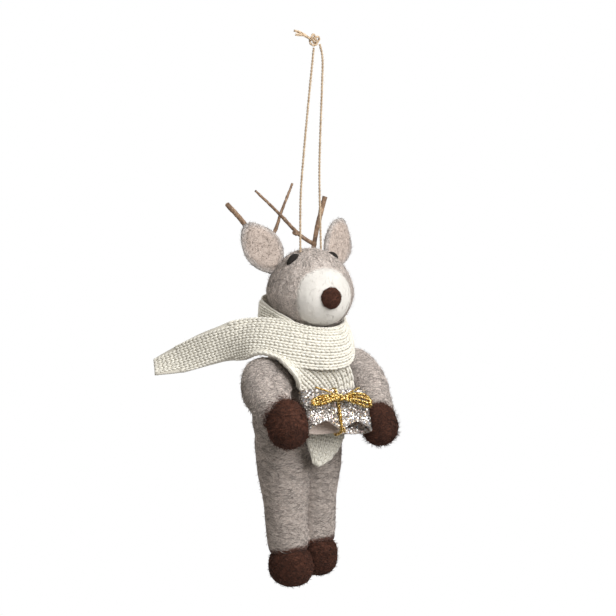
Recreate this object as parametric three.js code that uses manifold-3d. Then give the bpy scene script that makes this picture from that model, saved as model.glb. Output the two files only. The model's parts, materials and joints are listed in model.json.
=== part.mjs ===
// A needle-felted reindeer that hangs on a loop of twine and carries a small parcel.
// Millimetres, +Z up. The origin is the point inside the loop, under its knot, that a hook
// or a twig carries. The reindeer faces -Y, so its right side is at -X.

import * as THREE from 'three';
import { mergeVertices } from 'three/addons/utils/BufferGeometryUtils.js';
import Module from 'manifold-3d';

// Clearance between pieces that touch
const GAP = 0.3;

// Hang loop
const TWINE_DIAMETER = 0.9;
const HANG_DROP = 74.2;
const STITCH_SPACING = 9.6;
const STITCH_DEPTH = 5;
const STITCH_BACK = 0.3;
const KNOT_RADIUS = 1.35;
const KNOT_SQUEEZE = 0.55;
const KNOT_TURNS = 2;
const KNOT_CROSSINGS = 3;
const KNOT_SHIFT = -1;
const KNOT_TAIL_LENGTH = 7;
const KNOT_TAIL_RISE = 2.2;
const KNOT_TAIL_SPREAD = 0.7;

// Head
const HEAD_WIDE = 31.5;
const HEAD_LONG = 33;
const HEAD_HIGH = 30.5;
const HEAD_TURN = -8;
const FACE_TURN = -13;
const CROWN_TAPER = 0.13;
const MUZZLE_WIDE = 23.4;
const MUZZLE_HIGH = 22.6;
const MUZZLE_LONG = 21;
const MUZZLE_THICK = 1.6;
const MUZZLE_DROP = 0.8;
const NOSE_DIAMETER = 7.4;
const NOSE_PROUD = 2;
const NOSE_RISE = 0.7;
const EYE_LONG = 4;
const EYE_HIGH = 2.6;
const EYE_PROUD = 1.2;
const EYE_OUT = 35.5;
const EYE_FORWARD = 2;
const EYE_TIP = 35;
const EYE_SLANT = 28;
const EAR_LONG = 22;
const EAR_WIDE = 14.5;
const EAR_THICK = 3;
const EAR_CUP = 2.4;
const EAR_CURL = 0.5;
const EAR_TIP_NARROW = 0.3;
const EAR_ROOT_NARROW = 0.35;
const EAR_LINING_LONG = 16.5;
const EAR_LINING_WIDE = 9.8;
const EAR_LINING_THICK = 1.8;
const EAR_OUT = 57;
const EAR_BACK = 6.5;
const EAR_SPLAY = 33;
const EAR_TIP_BACK = 16;
const EAR_TOE = 12;
const EAR_SINK = 2;

// Antler twigs
const BEAM_DIAMETER = 1.9;
const TINE_DIAMETER = 1.5;
const TINE_TIP_DIAMETER = 0.9;

// Torso
const TORSO_BACK = 4.8;
const TORSO_LONG = 56;
const NECK_RISE = 4.3;
const TORSO_BLUNT = 3.2;
const NECK_DIAMETER = 17;
const SHOULDER_WIDE = 31;
const SHOULDER_DEEP = 22;
const BELLY_WIDE = 36;
const BELLY_DEEP = 25;
const HIP_WIDE = 39;
const HIP_DEEP = 28;

// Arms and their wire
const SHOULDER_SPAN = 36;
const SHOULDER_DROP = 41.5;
const SHOULDER_FORWARD = 2.3;
const UPPER_ARM_DIAMETER = 15.5;
const WRIST_DIAMETER = 12.4;
const ELBOW_OUT = 5;
const ELBOW_DROP = 2;
const ELBOW_SHARE = 0.45;
const ARM_BLUNT = 5;
const HAND_WIDE = 14.4;
const HAND_HIGH = 17;
const HAND_LEAN = 24;
const HAND_BLUNT = 2.6;
const HAND_LOW = 4.8;
const LEFT_HAND_SHARE = 0.87;
const PALM_PRESS = 1;
const WIRE_DIAMETER = 1.2;
const WIRE_SLACK = 0.36;
const ARM_WIRE_SHARES = [0.3, 0.6, 0.97];
const NECK_WIRE_LONG = 28;

// Legs and feet
const HIP_SPAN = 15.6;
const ANKLE_SPAN = 12.6;
const HIP_RISE = 12;
const HIP_BACK = 0.9;
const ANKLE_FORWARD = 4;
const HIP_DIAMETER = 22;
const THIGH_DIAMETER = 19.8;
const KNEE_DIAMETER = 15.2;
const ANKLE_DIAMETER = 14.2;
const LEG_BLUNT = 7;
const LEG_LONG = 45;
const LEG_SINK = 9;
const LEG_STEP = 1.1;
const FOOT_WIDE = 15.4;
const FOOT_LONG = 17;
const FOOT_HIGH = 14.6;
const FOOT_FORWARD = 1.4;
const FOOT_DROP = 3.4;
const FOOT_BLUNT = 2.8;
const LEFT_FOOT_SHARE = 0.9;

// Scarf
const SCARF_WIDE = 17.5;
const SCARF_THICK = 2;
const SCARF_BULGE = 0.5;
const HANGING_START = 3.5;
const HANGING_LONG = 45;
const HANGING_TIP_WIDE = 5.6;
const HANGING_NARROWS = 0.76;
const FLUNG_SHARE = 0.75;
const FLUNG_TIP_WIDE = 8.4;
const FLUNG_OUT = 17.2;
const FLUNG_BACK = 19.4;
const FLUNG_DOWN = 10.4;
const SCARF_TWIST = 50;
const SCARF_LEAN = 4;

// Parcel
const PARCEL_LONG = 27;
const PARCEL_HIGH = 15;
const PARCEL_DEEP = 8;
const PARCEL_WAIST = 4.6;
const PARCEL_WALL = 0.8;
const PARCEL_SQUARENESS = 0.62;
const PARCEL_WAIST_LONG = 7;
const PARCEL_SHIFT = -3.5;
const PARCEL_FORWARD = 21.2;
const PARCEL_DROP = 56.7;
const PARCEL_LEAN = 30;
const PARCEL_ROLL = 5;
const PARCEL_TURN = -10;
const GOLD_DIAMETER = 1.3;
const BOW_KNOT_DIAMETER = 2.8;
const BOW_RISE = 3.6;
const BOW_LOOP_LONG = 10.6;
const BOW_LOOP_HIGH = 2.8;
const BOW_LOOP_DROP = 2.4;
const BOW_LIFT = 1.2;
const BOW_TAIL_DIAMETER = 0.8;
const BOW_TAIL_LONG = 10;
const BOW_TAIL_RISE = 3.8;
const BOW_TAIL_ARCH = 0.6;

// Moves that the forms leave room for, in degrees
const ARMS_UP = 18;
const ARMS_DOWN = 4;
const SWEEP_STEPS = 4;

// Facet counts
const ROUND = 20;
const LIMB_SIDES = 16;
const LIMB_RINGS = 14;
const BALL_SIDES = 24;
const BALL_ROWS = 16;
const KNOB_SIDES = 16;
const KNOB_ROWS = 12;
const BEAD_SIDES = 12;
const BEAD_ROWS = 8;
const CORD_SIDES = 8;
const FINE_SIDES = 6;
const STRAND_STEPS = 32;
const WIRE_STEPS = 40;
const STITCH_STEPS = 16;
const SHORT_STEPS = 8;
const KNOT_STEPS = 44;
const BAND_LINES = [-1, -0.55, 0, 0.55, 1];
const WELD = 1e-5;

const CROWN_Z = -HANG_DROP;
const HEAD_Z = CROWN_Z - HEAD_HIGH / 2;
const CHIN_Z = CROWN_Z - HEAD_HIGH;
const SIDES = { right: -1, left: 1 };

const wasm = await Module();
wasm.setup();

const point = (x, y, z) => new THREE.Vector3(x, y, z);
const radians = THREE.MathUtils.degToRad;
const UP = point(0, 0, 1);
const ACROSS = point(1, 0, 0);

// A place round the neck, as shares of the half width and half depth of the shoulders, and by
// how far it lies above the underside of the head.
const onShoulders = (across, back, above) => point(
  (across * SHOULDER_WIDE) / 2, TORSO_BACK + (back * SHOULDER_DEEP) / 2, CHIN_Z + above,
);

// A place given by how far it lies above the crown.
const fromCrown = (x, y, above) => point(x, y, CROWN_Z + above);

// Solids

// A closed geometry as a solid that can be joined and cut.
function solid(geometry) {
  const bare = geometry.clone();
  bare.deleteAttribute('normal');
  bare.deleteAttribute('uv');
  const welded = mergeVertices(bare, WELD);
  return new wasm.Manifold(new wasm.Mesh({
    numProp: 3,
    vertProperties: Float32Array.from(welded.attributes.position.array),
    triVerts: Uint32Array.from(welded.index.array),
  }));
}

function geometryOf(body) {
  const mesh = body.getMesh();
  const geometry = new THREE.BufferGeometry();
  geometry.setAttribute('position', new THREE.BufferAttribute(Float32Array.from(mesh.vertProperties), 3));
  geometry.setIndex(new THREE.BufferAttribute(Uint32Array.from(mesh.triVerts), 1));
  return geometry;
}

// The geometry with every tool taken out of it.
function cut(geometry, ...tools) {
  return geometryOf(tools.reduce((body, tool) => body.subtract(solid(tool)), solid(geometry)));
}

function join(geometry, other) {
  return geometryOf(solid(geometry).add(solid(other)));
}

// The same form with its skin moved out, which leaves that clearance when it cuts a neighbour.
function grown(geometry, by = GAP) {
  const bare = geometry.clone();
  bare.deleteAttribute('normal');
  bare.deleteAttribute('uv');
  const fat = mergeVertices(bare, WELD);
  fat.computeVertexNormals();
  const { position, normal } = fat.attributes;
  for (let i = 0; i < position.count; i += 1) {
    position.setXYZ(
      i,
      position.getX(i) + normal.getX(i) * by,
      position.getY(i) + normal.getY(i) * by,
      position.getZ(i) + normal.getZ(i) * by,
    );
  }
  return fat;
}

function turned(geometry, axis, degrees, centre = point(0, 0, 0)) {
  const about = new THREE.Matrix4().makeTranslation(centre)
    .multiply(new THREE.Matrix4().makeRotationAxis(axis, radians(degrees)))
    .multiply(new THREE.Matrix4().makeTranslation(centre.clone().negate()));
  return geometry.clone().applyMatrix4(about);
}

// A closed skin over rings of points, with a fan over each end.
function loft(rings) {
  const sides = rings[0].length;
  const points = rings.flat();
  const faces = [];
  rings.slice(1).forEach((_, i) => {
    for (let j = 0; j < sides; j += 1) {
      const a = i * sides + j;
      const b = i * sides + ((j + 1) % sides);
      faces.push(a, b, b + sides, a, b + sides, a + sides);
    }
  });
  [0, rings.length - 1].forEach((end) => {
    const middle = rings[end].reduce((sum, p) => sum.add(p), point(0, 0, 0)).divideScalar(sides);
    points.push(middle);
    for (let j = 0; j < sides; j += 1) {
      const a = end * sides + j;
      const b = end * sides + ((j + 1) % sides);
      faces.push(points.length - 1, ...(end ? [a, b] : [b, a]));
    }
  });
  const geometry = new THREE.BufferGeometry().setFromPoints(points);
  geometry.setIndex(faces);
  return facingOut(geometry);
}

// Turns the faces round where the skin came out inside out.
function facingOut(geometry) {
  const { position } = geometry.attributes;
  const corners = [0, 1, 2].map(() => point(0, 0, 0));
  const index = Array.from(geometry.index.array);
  let volume = 0;
  for (let i = 0; i < index.length; i += 3) {
    corners.forEach((corner, k) => corner.fromBufferAttribute(position, index[i + k]));
    volume += corners[0].dot(corners[1].clone().cross(corners[2]));
  }
  if (volume < 0) geometry.setIndex(index.reverse());
  return geometry;
}

// Ellipse of points across a spine, with one axis held near the given direction.
function ring(centre, tangent, along, across, deep, sides) {
  const side = along.clone().addScaledVector(tangent, -along.dot(tangent)).normalize();
  const front = tangent.clone().cross(side);
  return Array.from({ length: sides }, (_, j) => {
    const angle = (2 * Math.PI * j) / sides;
    return centre.clone()
      .addScaledVector(side, across * Math.cos(angle))
      .addScaledVector(front, deep * Math.sin(angle));
  });
}

// A value eased along evenly spaced stations.
function eased(stations, t) {
  const place = Math.min(t, 1) * (stations.length - 1);
  const from = Math.min(Math.floor(place), stations.length - 2);
  const share = THREE.MathUtils.smoothstep(place - from, 0, 1);
  return THREE.MathUtils.lerp(stations[from], stations[from + 1], share);
}

// Share of a ring's step by which the end rings of a wool form stand in from its poles
const POLE_TRIM = 0.12;

// A stuffed or wound wool form: its girth swells along a spine and rounds off at both ends.
// A higher bluntness keeps the girth nearer to the ends.
function feltForm(spine, across, deep, bluntness, rings, along = ACROSS, sides = LIMB_SIDES) {
  const stations = Array.from({ length: rings + 1 }, (_, i) => {
    const share = (i + POLE_TRIM) / (rings + 2 * POLE_TRIM);
    return (1 - Math.cos(Math.PI * share)) / 2;
  });
  return loft(stations.map((t) => {
    const round = Math.sqrt(1 - Math.abs(2 * t - 1) ** bluntness);
    return ring(
      spine.getPointAt(t), spine.getTangentAt(t), along,
      (eased(across, t) / 2) * round, (eased(deep, t) / 2) * round, sides,
    );
  }));
}

const straight = (from, to) => new THREE.LineCurve3(from, to);
const curved = (...points) => new THREE.CatmullRomCurve3(points);

// A felted end of a limb, between a ball and a block
function knob(wide, long, high, bluntness) {
  const spine = straight(point(0, 0, high / 2), point(0, 0, -high / 2));
  return feltForm(spine, [wide, wide], [long, long], bluntness, KNOB_ROWS);
}

function ball(wide, long, high, centre, columns, rows) {
  const geometry = new THREE.SphereGeometry(1, columns, rows);
  geometry.rotateX(Math.PI / 2);
  geometry.scale(wide / 2, long / 2, high / 2);
  return geometry.translate(centre.x, centre.y, centre.z);
}

// Round cord or wire along a curve, with flat ends.
function cord(curve, diameter, steps, sides = CORD_SIDES) {
  const section = new THREE.Shape();
  section.setFromPoints(Array.from({ length: sides }, (_, j) => {
    const angle = (2 * Math.PI * j) / sides;
    return new THREE.Vector2(Math.cos(angle), Math.sin(angle)).multiplyScalar(diameter / 2);
  }));
  return new THREE.ExtrudeGeometry(section, { extrudePath: curve, steps, bevelEnabled: false });
}

// A direction that no twig runs along
const TWIG_SIDE = point(0, 1, 0.3);

// A twig that tapers from its seat to its cut tip.
function twig(points, seatDiameter, tipDiameter) {
  const spine = curved(...points);
  return loft(Array.from({ length: SHORT_STEPS }, (_, i) => {
    const t = i / (SHORT_STEPS - 1);
    const radius = THREE.MathUtils.lerp(seatDiameter, tipDiameter, t) / 2;
    return ring(spine.getPointAt(t), spine.getTangentAt(t), TWIG_SIDE, radius, radius, CORD_SIDES);
  }));
}

// Share of its thickness that a knitted band loses at its edges
const SELVEDGE_THIN = 0.5;

// A knitted band: stations along its length, each with a centre, the way its width runs,
// the way it faces, its half width and how far its middle bulges out.
function band(stations, thick) {
  return loft(stations.map(({ centre, width, face, half, bulge }) => {
    const skin = (u, side) => centre.clone()
      .addScaledVector(width, u * half)
      .addScaledVector(face, bulge * (1 - u * u) + (side * thick * (1 - SELVEDGE_THIN * u ** 4)) / 2);
    return [...BAND_LINES.map((u) => skin(u, 1)), ...BAND_LINES.toReversed().map((u) => skin(u, -1))];
  }));
}

// Stations of a band whose centre line, width and edges are eased through hand-set posts.
// A post gives the centre, how far the lower edge flares out from the middle, the share of the
// scarf's width and the bulge.
function posted(posts, middle, count) {
  const route = new THREE.CatmullRomCurve3(posts.map(({ at }) => onShoulders(...at)), false, 'centripetal');
  return Array.from({ length: count + 1 }, (_, i) => {
    const t = i / count;
    const place = t * (posts.length - 1);
    const from = Math.min(Math.floor(place), posts.length - 2);
    const mix = (key) => THREE.MathUtils.lerp(posts[from][key], posts[from + 1][key], place - from);
    const centre = route.getPoint(t);
    const tangent = route.getTangent(t);
    const outward = point(centre.x - middle.x, centre.y - middle.y, 0).normalize();
    const width = point(0, 0, -1).addScaledVector(outward, mix('flare'));
    width.addScaledVector(tangent, -width.dot(tangent)).normalize();
    const face = width.clone().cross(tangent).normalize();
    if (face.dot(outward) < 0) face.negate();
    return { centre, width, face, half: (mix('wide') * SCARF_WIDE) / 2, bulge: mix('bulge') };
  });
}

const figure = new THREE.Group();
figure.name = 'felt_reindeer_ornament';

const finishes = {
  grey_wool: { color: 0xaba19b, roughness: 0.95, metalness: 0 },
  white_wool: { color: 0xf0ece4, roughness: 0.95, metalness: 0 },
  brown_wool: { color: 0x4a2a22, roughness: 0.95, metalness: 0 },
  dark_wool: { color: 0x2c211c, roughness: 0.85, metalness: 0 },
  beige_wool: { color: 0xc6b5a8, roughness: 0.95, metalness: 0 },
  twig_bark: { color: 0x7d6552, roughness: 0.85, metalness: 0 },
  cream_knit: { color: 0xe6e2d6, roughness: 0.95, metalness: 0 },
  glitter_ribbon: { color: 0xb9ada0, roughness: 0.4, metalness: 0.5 },
  gold_cord: { color: 0xc79a3a, roughness: 0.35, metalness: 0.8 },
  jute_twine: { color: 0xc9b08a, roughness: 0.9, metalness: 0 },
  steel_wire: { color: 0x8d8f92, roughness: 0.4, metalness: 1 },
};

function add(name, finish, geometry) {
  const mesh = new THREE.Mesh(geometry, new THREE.MeshStandardMaterial(finishes[finish]));
  mesh.name = name;
  figure.add(mesh);
}

// Head

const HEAD_CENTRE = point(0, 0, HEAD_Z);
const faced = (geometry, turn = HEAD_TURN) => turned(geometry, UP, turn, HEAD_CENTRE);

// The head is an egg whose girth draws in towards the crown.
function headForm() {
  const geometry = ball(HEAD_WIDE, HEAD_LONG, HEAD_HIGH, point(0, 0, 0), BALL_SIDES, BALL_ROWS);
  const { position } = geometry.attributes;
  for (let i = 0; i < position.count; i += 1) {
    const draw = 1 - CROWN_TAPER * Math.max(0, position.getZ(i) / (HEAD_HIGH / 2));
    position.setXY(i, position.getX(i) * draw, position.getY(i) * draw);
  }
  return faced(geometry.translate(0, 0, HEAD_Z));
}

// Point of the head's skin, seen from its centre: degrees out from the crown to a side, and
// millimetres forward of the middle.
function onHead(side, out, forward) {
  const share = forward / (HEAD_LONG / 2);
  const reach = Math.sqrt(1 - share * share);
  const rise = Math.cos(radians(out)) * reach;
  const draw = 1 - CROWN_TAPER * Math.max(0, rise);
  return point(
    side * Math.sin(radians(out)) * reach * (HEAD_WIDE / 2) * draw,
    -forward * draw,
    HEAD_Z + rise * (HEAD_HIGH / 2),
  );
}

const head = headForm();
const headRoom = grown(head);

const muzzleFront = -(HEAD_LONG / 2 + MUZZLE_THICK);
const muzzleCentre = point(0, muzzleFront + MUZZLE_LONG / 2, HEAD_Z - MUZZLE_DROP);
const muzzleBall = ball(MUZZLE_WIDE, MUZZLE_LONG, MUZZLE_HIGH, muzzleCentre, BALL_SIDES, BALL_ROWS);
const muzzleForm = faced(muzzleBall, FACE_TURN);
const muzzleRoom = grown(muzzleForm);
const noseCentre = point(0, muzzleFront, muzzleCentre.z + NOSE_RISE);
const noseBall = ball(NOSE_DIAMETER, 2 * NOSE_PROUD, NOSE_DIAMETER, noseCentre, BEAD_SIDES, BEAD_ROWS);
const noseForm = faced(noseBall, FACE_TURN);

add('muzzle', 'white_wool', cut(muzzleForm, headRoom));
add('nose', 'brown_wool', cut(noseForm, muzzleRoom));

Object.entries(SIDES).forEach(([name, side]) => {
  const seat = onHead(side, EYE_OUT, EYE_FORWARD);
  const bean = ball(EYE_LONG, EYE_PROUD * 2, EYE_HIGH, point(0, 0, 0), BEAD_SIDES, BEAD_ROWS);
  bean.rotateX(radians(-EYE_TIP));
  bean.rotateY(radians(side * EYE_SLANT));
  bean.translate(seat.x, seat.y, seat.z);
  add(`eye_${name}`, 'dark_wool', cut(faced(bean), headRoom));
});

// An ear is a felted leaf, cupped to the front, with a thin pad of lighter wool in the cup.
function earLeaf(side, long, wide, thick, forward) {
  const geometry = ball(wide, thick, long, point(0, 0, 0), KNOB_SIDES, KNOB_ROWS);
  const { position } = geometry.attributes;
  for (let i = 0; i < position.count; i += 1) {
    const up = position.getZ(i) / (long / 2);
    const narrow = 1 - (up > 0 ? EAR_TIP_NARROW : EAR_ROOT_NARROW) * up * up;
    const x = position.getX(i) * narrow;
    const cup = EAR_CUP * ((x / (EAR_WIDE / 2)) ** 2 + EAR_CURL * up * up);
    position.setXYZ(i, x, position.getY(i) - cup - forward, position.getZ(i));
  }
  geometry.translate(0, 0, EAR_LONG / 2 - EAR_SINK);
  geometry.rotateX(radians(-EAR_TIP_BACK));
  geometry.rotateY(radians(side * EAR_SPLAY));
  geometry.rotateZ(radians(side * EAR_TOE));
  const seat = onHead(side, EAR_OUT, -EAR_BACK);
  geometry.translate(seat.x, seat.y, seat.z);
  return faced(geometry);
}

Object.entries(SIDES).forEach(([name, side]) => {
  const leaf = earLeaf(side, EAR_LONG, EAR_WIDE, EAR_THICK, 0);
  const pad = earLeaf(side, EAR_LINING_LONG, EAR_LINING_WIDE, EAR_LINING_THICK, EAR_THICK / 2);
  add(`ear_${name}`, 'grey_wool', cut(leaf, headRoom));
  add(`ear_lining_${name}`, 'beige_wool', cut(pad, grown(leaf), headRoom));
});

// Antlers: a forked twig behind each ear. The thick beam stands in a socket of the head, and
// the places are given from the crown.
const ANTLERS = {
  right: {
    beam: [[-6.5, 8.5, -11.5], [-9.4, 16.2, -3.4], [-18, 17.5, 8.5], [-26.2, 17, 16.1]],
    tine: [[-9.7, 16.2, -3.1], [-4, 17, 5.1], [-0.8, 17.8, 11.6], [5.5, 19.5, 22]],
  },
  left: {
    beam: [[6.8, 8.5, -11.5], [10.7, 12, -0.4], [13.5, 13, 8.4], [16.9, 14, 16.9]],
    tine: [[10.6, 12, -0.6], [3.7, 12.5, 3.8], [-6.8, 12, 12.7], [-16.6, 12.9, 21.1]],
    spur: [[3.9, 12.3, 3.7], [1.6, 11.2, 4.2], [-0.4, 10.2, 4.9]],
  },
};

const sockets = Object.entries(ANTLERS).map(([name, twigs]) => {
  const along = (route) => route.map((place) => fromCrown(...place));
  const beam = twig(along(twigs.beam), BEAM_DIAMETER, BEAM_DIAMETER);
  const shoot = cut(twig(along(twigs.tine), TINE_DIAMETER, TINE_TIP_DIAMETER), grown(beam));
  const tine = twigs.spur ? join(shoot, twig(along(twigs.spur), TINE_TIP_DIAMETER, TINE_DIAMETER)) : shoot;
  add(`antler_beam_${name}`, 'twig_bark', beam);
  add(`antler_tine_${name}`, 'twig_bark', tine);
  return grown(beam);
});

// Height of the head's skin above a place near the crown.
function headTop(x, y) {
  let rise = 1;
  for (let i = 0; i < SHORT_STEPS; i += 1) {
    const draw = 1 - CROWN_TAPER * rise;
    rise = Math.sqrt(1 - (x / (draw * (HEAD_WIDE / 2))) ** 2 - (y / (draw * (HEAD_LONG / 2))) ** 2);
  }
  return HEAD_Z + (rise * HEAD_HIGH) / 2;
}

// Twine: two strands from the knot down to the crown, and the stitch that holds them there.
const STRANDS = {
  left: [[3.9, 1.2, -48], [3.4, 0.7, -30], [3.3, 0.3, -14], [3, 0.1, -4.5], [1.5, 0, 0.7]],
  right: [[-4.6, 1.2, -55], [-3.9, 0.7, -37], [-2.6, 0.3, -18], [-1.2, 0, -0.6]],
};
const knotCentre = point(KNOT_SHIFT, 0, KNOT_RADIUS + TWINE_DIAMETER);
const knotForm = new THREE.TorusKnotGeometry(
  KNOT_RADIUS, TWINE_DIAMETER * KNOT_SQUEEZE, KNOT_STEPS, FINE_SIDES, KNOT_TURNS, KNOT_CROSSINGS,
);
knotForm.rotateX(Math.PI / 2);
knotForm.translate(knotCentre.x, knotCentre.y, knotCentre.z);
const knotRoom = grown(knotForm);
const knotReach = (KNOT_RADIUS * KNOT_CROSSINGS) / 2;
add('hang_knot', 'jute_twine', knotForm);

const stitchTop = headTop(STITCH_SPACING / 2, STITCH_BACK);
const stitchEnd = (side, above) => point((side * STITCH_SPACING) / 2, STITCH_BACK, stitchTop + above);
Object.entries(SIDES).forEach(([name, side]) => {
  const route = curved(stitchEnd(side, GAP), ...STRANDS[name].map((place) => point(...place)));
  add(`hang_strand_${name}`, 'jute_twine', cut(cord(route, TWINE_DIAMETER, STRAND_STEPS), knotRoom));
  const root = knotCentre.clone().add(point(-knotReach, (side * TWINE_DIAMETER) / 2, TWINE_DIAMETER / 2));
  const tip = root.clone().add(point(-KNOT_TAIL_LENGTH, 0, KNOT_TAIL_RISE + side * KNOT_TAIL_SPREAD));
  const arch = root.clone().lerp(tip, 0.5).addScaledVector(UP, TWINE_DIAMETER / 2);
  const tail = cord(curved(root, arch, tip), TWINE_DIAMETER, SHORT_STEPS / 2);
  add(`knot_tail_${name}`, 'jute_twine', cut(tail, knotRoom));
});

const stitchRoute = (above) => curved(
  stitchEnd(-1, above), stitchEnd(-1, -STITCH_DEPTH / 2), stitchEnd(-0.5, -STITCH_DEPTH),
  stitchEnd(0.5, -STITCH_DEPTH), stitchEnd(1, -STITCH_DEPTH / 2), stitchEnd(1, above),
);
add('crown_stitch', 'jute_twine', cord(stitchRoute(0), TWINE_DIAMETER, STITCH_STEPS));
const stitchBore = cord(stitchRoute(TWINE_DIAMETER), TWINE_DIAMETER + 2 * GAP, STITCH_STEPS);

// Torso, with its neck pushed up under the head
const NECK_Z = CHIN_Z + NECK_RISE;
const torsoForm = feltForm(
  straight(point(0, TORSO_BACK, NECK_Z), point(0, TORSO_BACK, NECK_Z - TORSO_LONG)),
  [NECK_DIAMETER, NECK_DIAMETER, SHOULDER_WIDE, BELLY_WIDE, HIP_WIDE, HIP_WIDE, HIP_WIDE],
  [NECK_DIAMETER, NECK_DIAMETER, SHOULDER_DEEP, BELLY_DEEP, HIP_DEEP, HIP_DEEP, HIP_DEEP],
  TORSO_BLUNT, LIMB_RINGS, ACROSS, ROUND,
);
const torsoRoom = grown(torsoForm);

// Parcel: stiff ribbon folded into a flattened tube that is open above and below, drawn in
// at the waist by a gold cord.
const PARCEL_CENTRE = fromCrown(PARCEL_SHIFT, -PARCEL_FORWARD, -PARCEL_DROP);

function laid(geometry) {
  geometry.rotateX(radians(-PARCEL_LEAN));
  geometry.rotateY(radians(PARCEL_ROLL));
  geometry.rotateZ(radians(PARCEL_TURN));
  return geometry.translate(PARCEL_CENTRE.x, PARCEL_CENTRE.y, PARCEL_CENTRE.z);
}

// Outline of the tube seen from its open end, as two lobes with a waist between them.
function lobes(inset) {
  return Array.from({ length: WIRE_STEPS }, (_, i) => {
    const angle = (2 * Math.PI * i) / WIRE_STEPS;
    const x = Math.cos(angle) * (PARCEL_LONG / 2 - inset);
    const swell = Math.abs(Math.sin(angle)) ** PARCEL_SQUARENESS * Math.sign(Math.sin(angle));
    const open = THREE.MathUtils.smoothstep(Math.abs(x), 0, PARCEL_WAIST_LONG);
    const depth = THREE.MathUtils.lerp(PARCEL_WAIST, PARCEL_DEEP, open);
    return new THREE.Vector2(x, swell * (depth / 2 - inset));
  });
}

function parcelTube(inset, high) {
  const shape = new THREE.Shape(lobes(inset));
  const geometry = new THREE.ExtrudeGeometry(shape, { depth: high, bevelEnabled: false });
  return geometry.translate(0, 0, -high / 2);
}

function parcelRoom() {
  return laid(parcelTube(-GAP, PARCEL_HIGH));
}

const ribbonTube = cut(parcelTube(0, PARCEL_HIGH), parcelTube(PARCEL_WALL, 2 * PARCEL_HIGH));
add('parcel_ribbon', 'glitter_ribbon', laid(ribbonTube));

// Gold cord: a ring round the waist, and a bow tied high on the face that looks forward
const goldReach = GAP + GOLD_DIAMETER / 2;
const tieHigh = PARCEL_HIGH / 2 + goldReach;
const tieDeep = PARCEL_WAIST / 2 + goldReach;
const tieCorners = [[-1, 1], [1, 1], [1, -1], [-1, -1]].map(([y, z]) => point(0, y * tieDeep, z * tieHigh));
const tieRoute = new THREE.CatmullRomCurve3(
  tieCorners.flatMap((corner, i) => [0, 0.5].map((t) => corner.clone().lerp(tieCorners[(i + 1) % 4], t))),
  true, 'chordal',
);
const tie = new THREE.TubeGeometry(tieRoute, WIRE_STEPS, GOLD_DIAMETER / 2, FINE_SIDES, true);
const tieRoom = grown(tie);
add('parcel_tie', 'gold_cord', laid(tie));

const bowKnot = point(0, -tieDeep - goldReach - BOW_KNOT_DIAMETER / 2, BOW_RISE);
const bowKnotForm = ball(
  BOW_KNOT_DIAMETER, BOW_KNOT_DIAMETER, BOW_KNOT_DIAMETER, bowKnot, BEAD_SIDES, BEAD_ROWS,
);
const bowKnotRoom = grown(bowKnotForm);
add('bow_knot', 'gold_cord', laid(cut(bowKnotForm, tieRoom)));
Object.entries(SIDES).forEach(([name, side]) => {
  const out = (along, rise, lift) => bowKnot.clone().add(point(side * along, -lift, rise));
  const strand = (edge) => cord(curved(
    bowKnot, out(BOW_LOOP_LONG / 2, (edge * BOW_LOOP_HIGH - BOW_LOOP_DROP) / 2, BOW_LIFT),
    out(BOW_LOOP_LONG - BOW_LOOP_HIGH / 2, (edge * BOW_LOOP_HIGH) / 2 - BOW_LOOP_DROP, BOW_LIFT / 2),
    out(BOW_LOOP_LONG, -BOW_LOOP_DROP, BOW_LIFT / 2),
  ), GOLD_DIAMETER, STITCH_STEPS / 2, FINE_SIDES);
  const loop = join(strand(1), strand(-1));
  const tail = cord(curved(
    bowKnot, out(BOW_TAIL_LONG / 2, BOW_TAIL_RISE * BOW_TAIL_ARCH, 0), out(BOW_TAIL_LONG, BOW_TAIL_RISE, 0),
  ), BOW_TAIL_DIAMETER, SHORT_STEPS, FINE_SIDES);
  add(`bow_loop_${name}`, 'gold_cord', laid(cut(loop, bowKnotRoom, tieRoom)));
  add(`bow_tail_${name}`, 'gold_cord', laid(cut(tail, bowKnotRoom, grown(loop), tieRoom)));
});

// A wire through the shoulders carries both arms and is bent down into the hands.
const SHOULDER = fromCrown(0, TORSO_BACK - SHOULDER_FORWARD, -SHOULDER_DROP);
const shoulderOf = (side) => SHOULDER.clone().setX((side * SHOULDER_SPAN) / 2);
const parcelAxis = ACROSS.clone().applyAxisAngle(point(0, 1, 0), radians(PARCEL_ROLL))
  .applyAxisAngle(UP, radians(PARCEL_TURN));
const handWide = (side) => HAND_WIDE * (side > 0 ? LEFT_HAND_SHARE : 1);
const handOf = (side) => PARCEL_CENTRE.clone()
  .addScaledVector(parcelAxis, side * (PARCEL_LONG / 2 + handWide(side) / 2 - PALM_PRESS))
  .addScaledVector(UP, -HAND_LOW);
const armSpine = (side) => {
  const from = shoulderOf(side);
  const to = handOf(side);
  const elbow = from.clone().lerp(to, ELBOW_SHARE).add(point(side * ELBOW_OUT, 0, -ELBOW_DROP));
  return curved(from, elbow, to);
};
const wirePoints = (side) => {
  const spine = armSpine(side);
  return [shoulderOf(side * 0.75), ...ARM_WIRE_SHARES.map((t) => spine.getPointAt(t))];
};
const armWireRoute = new THREE.CatmullRomCurve3([
  ...wirePoints(-1).toReversed(), shoulderOf(-0.25), shoulderOf(0.25), ...wirePoints(1),
], false, 'centripetal');
const armWireRoom = cord(armWireRoute, WIRE_DIAMETER + 2 * WIRE_SLACK, WIRE_STEPS, FINE_SIDES);
add('arm_wire', 'steel_wire', cord(armWireRoute, WIRE_DIAMETER, WIRE_STEPS, FINE_SIDES));

// A form in each place that it takes as the arms swing, seen from the arms or from the torso.
const sweep = (form, from, to) => Array.from({ length: SWEEP_STEPS + 1 }, (_, i) => turned(
  form, ACROSS, THREE.MathUtils.lerp(from, to, i / SWEEP_STEPS), SHOULDER,
));
const torsoSweep = sweep(torsoRoom, -ARMS_DOWN, ARMS_UP);

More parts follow.
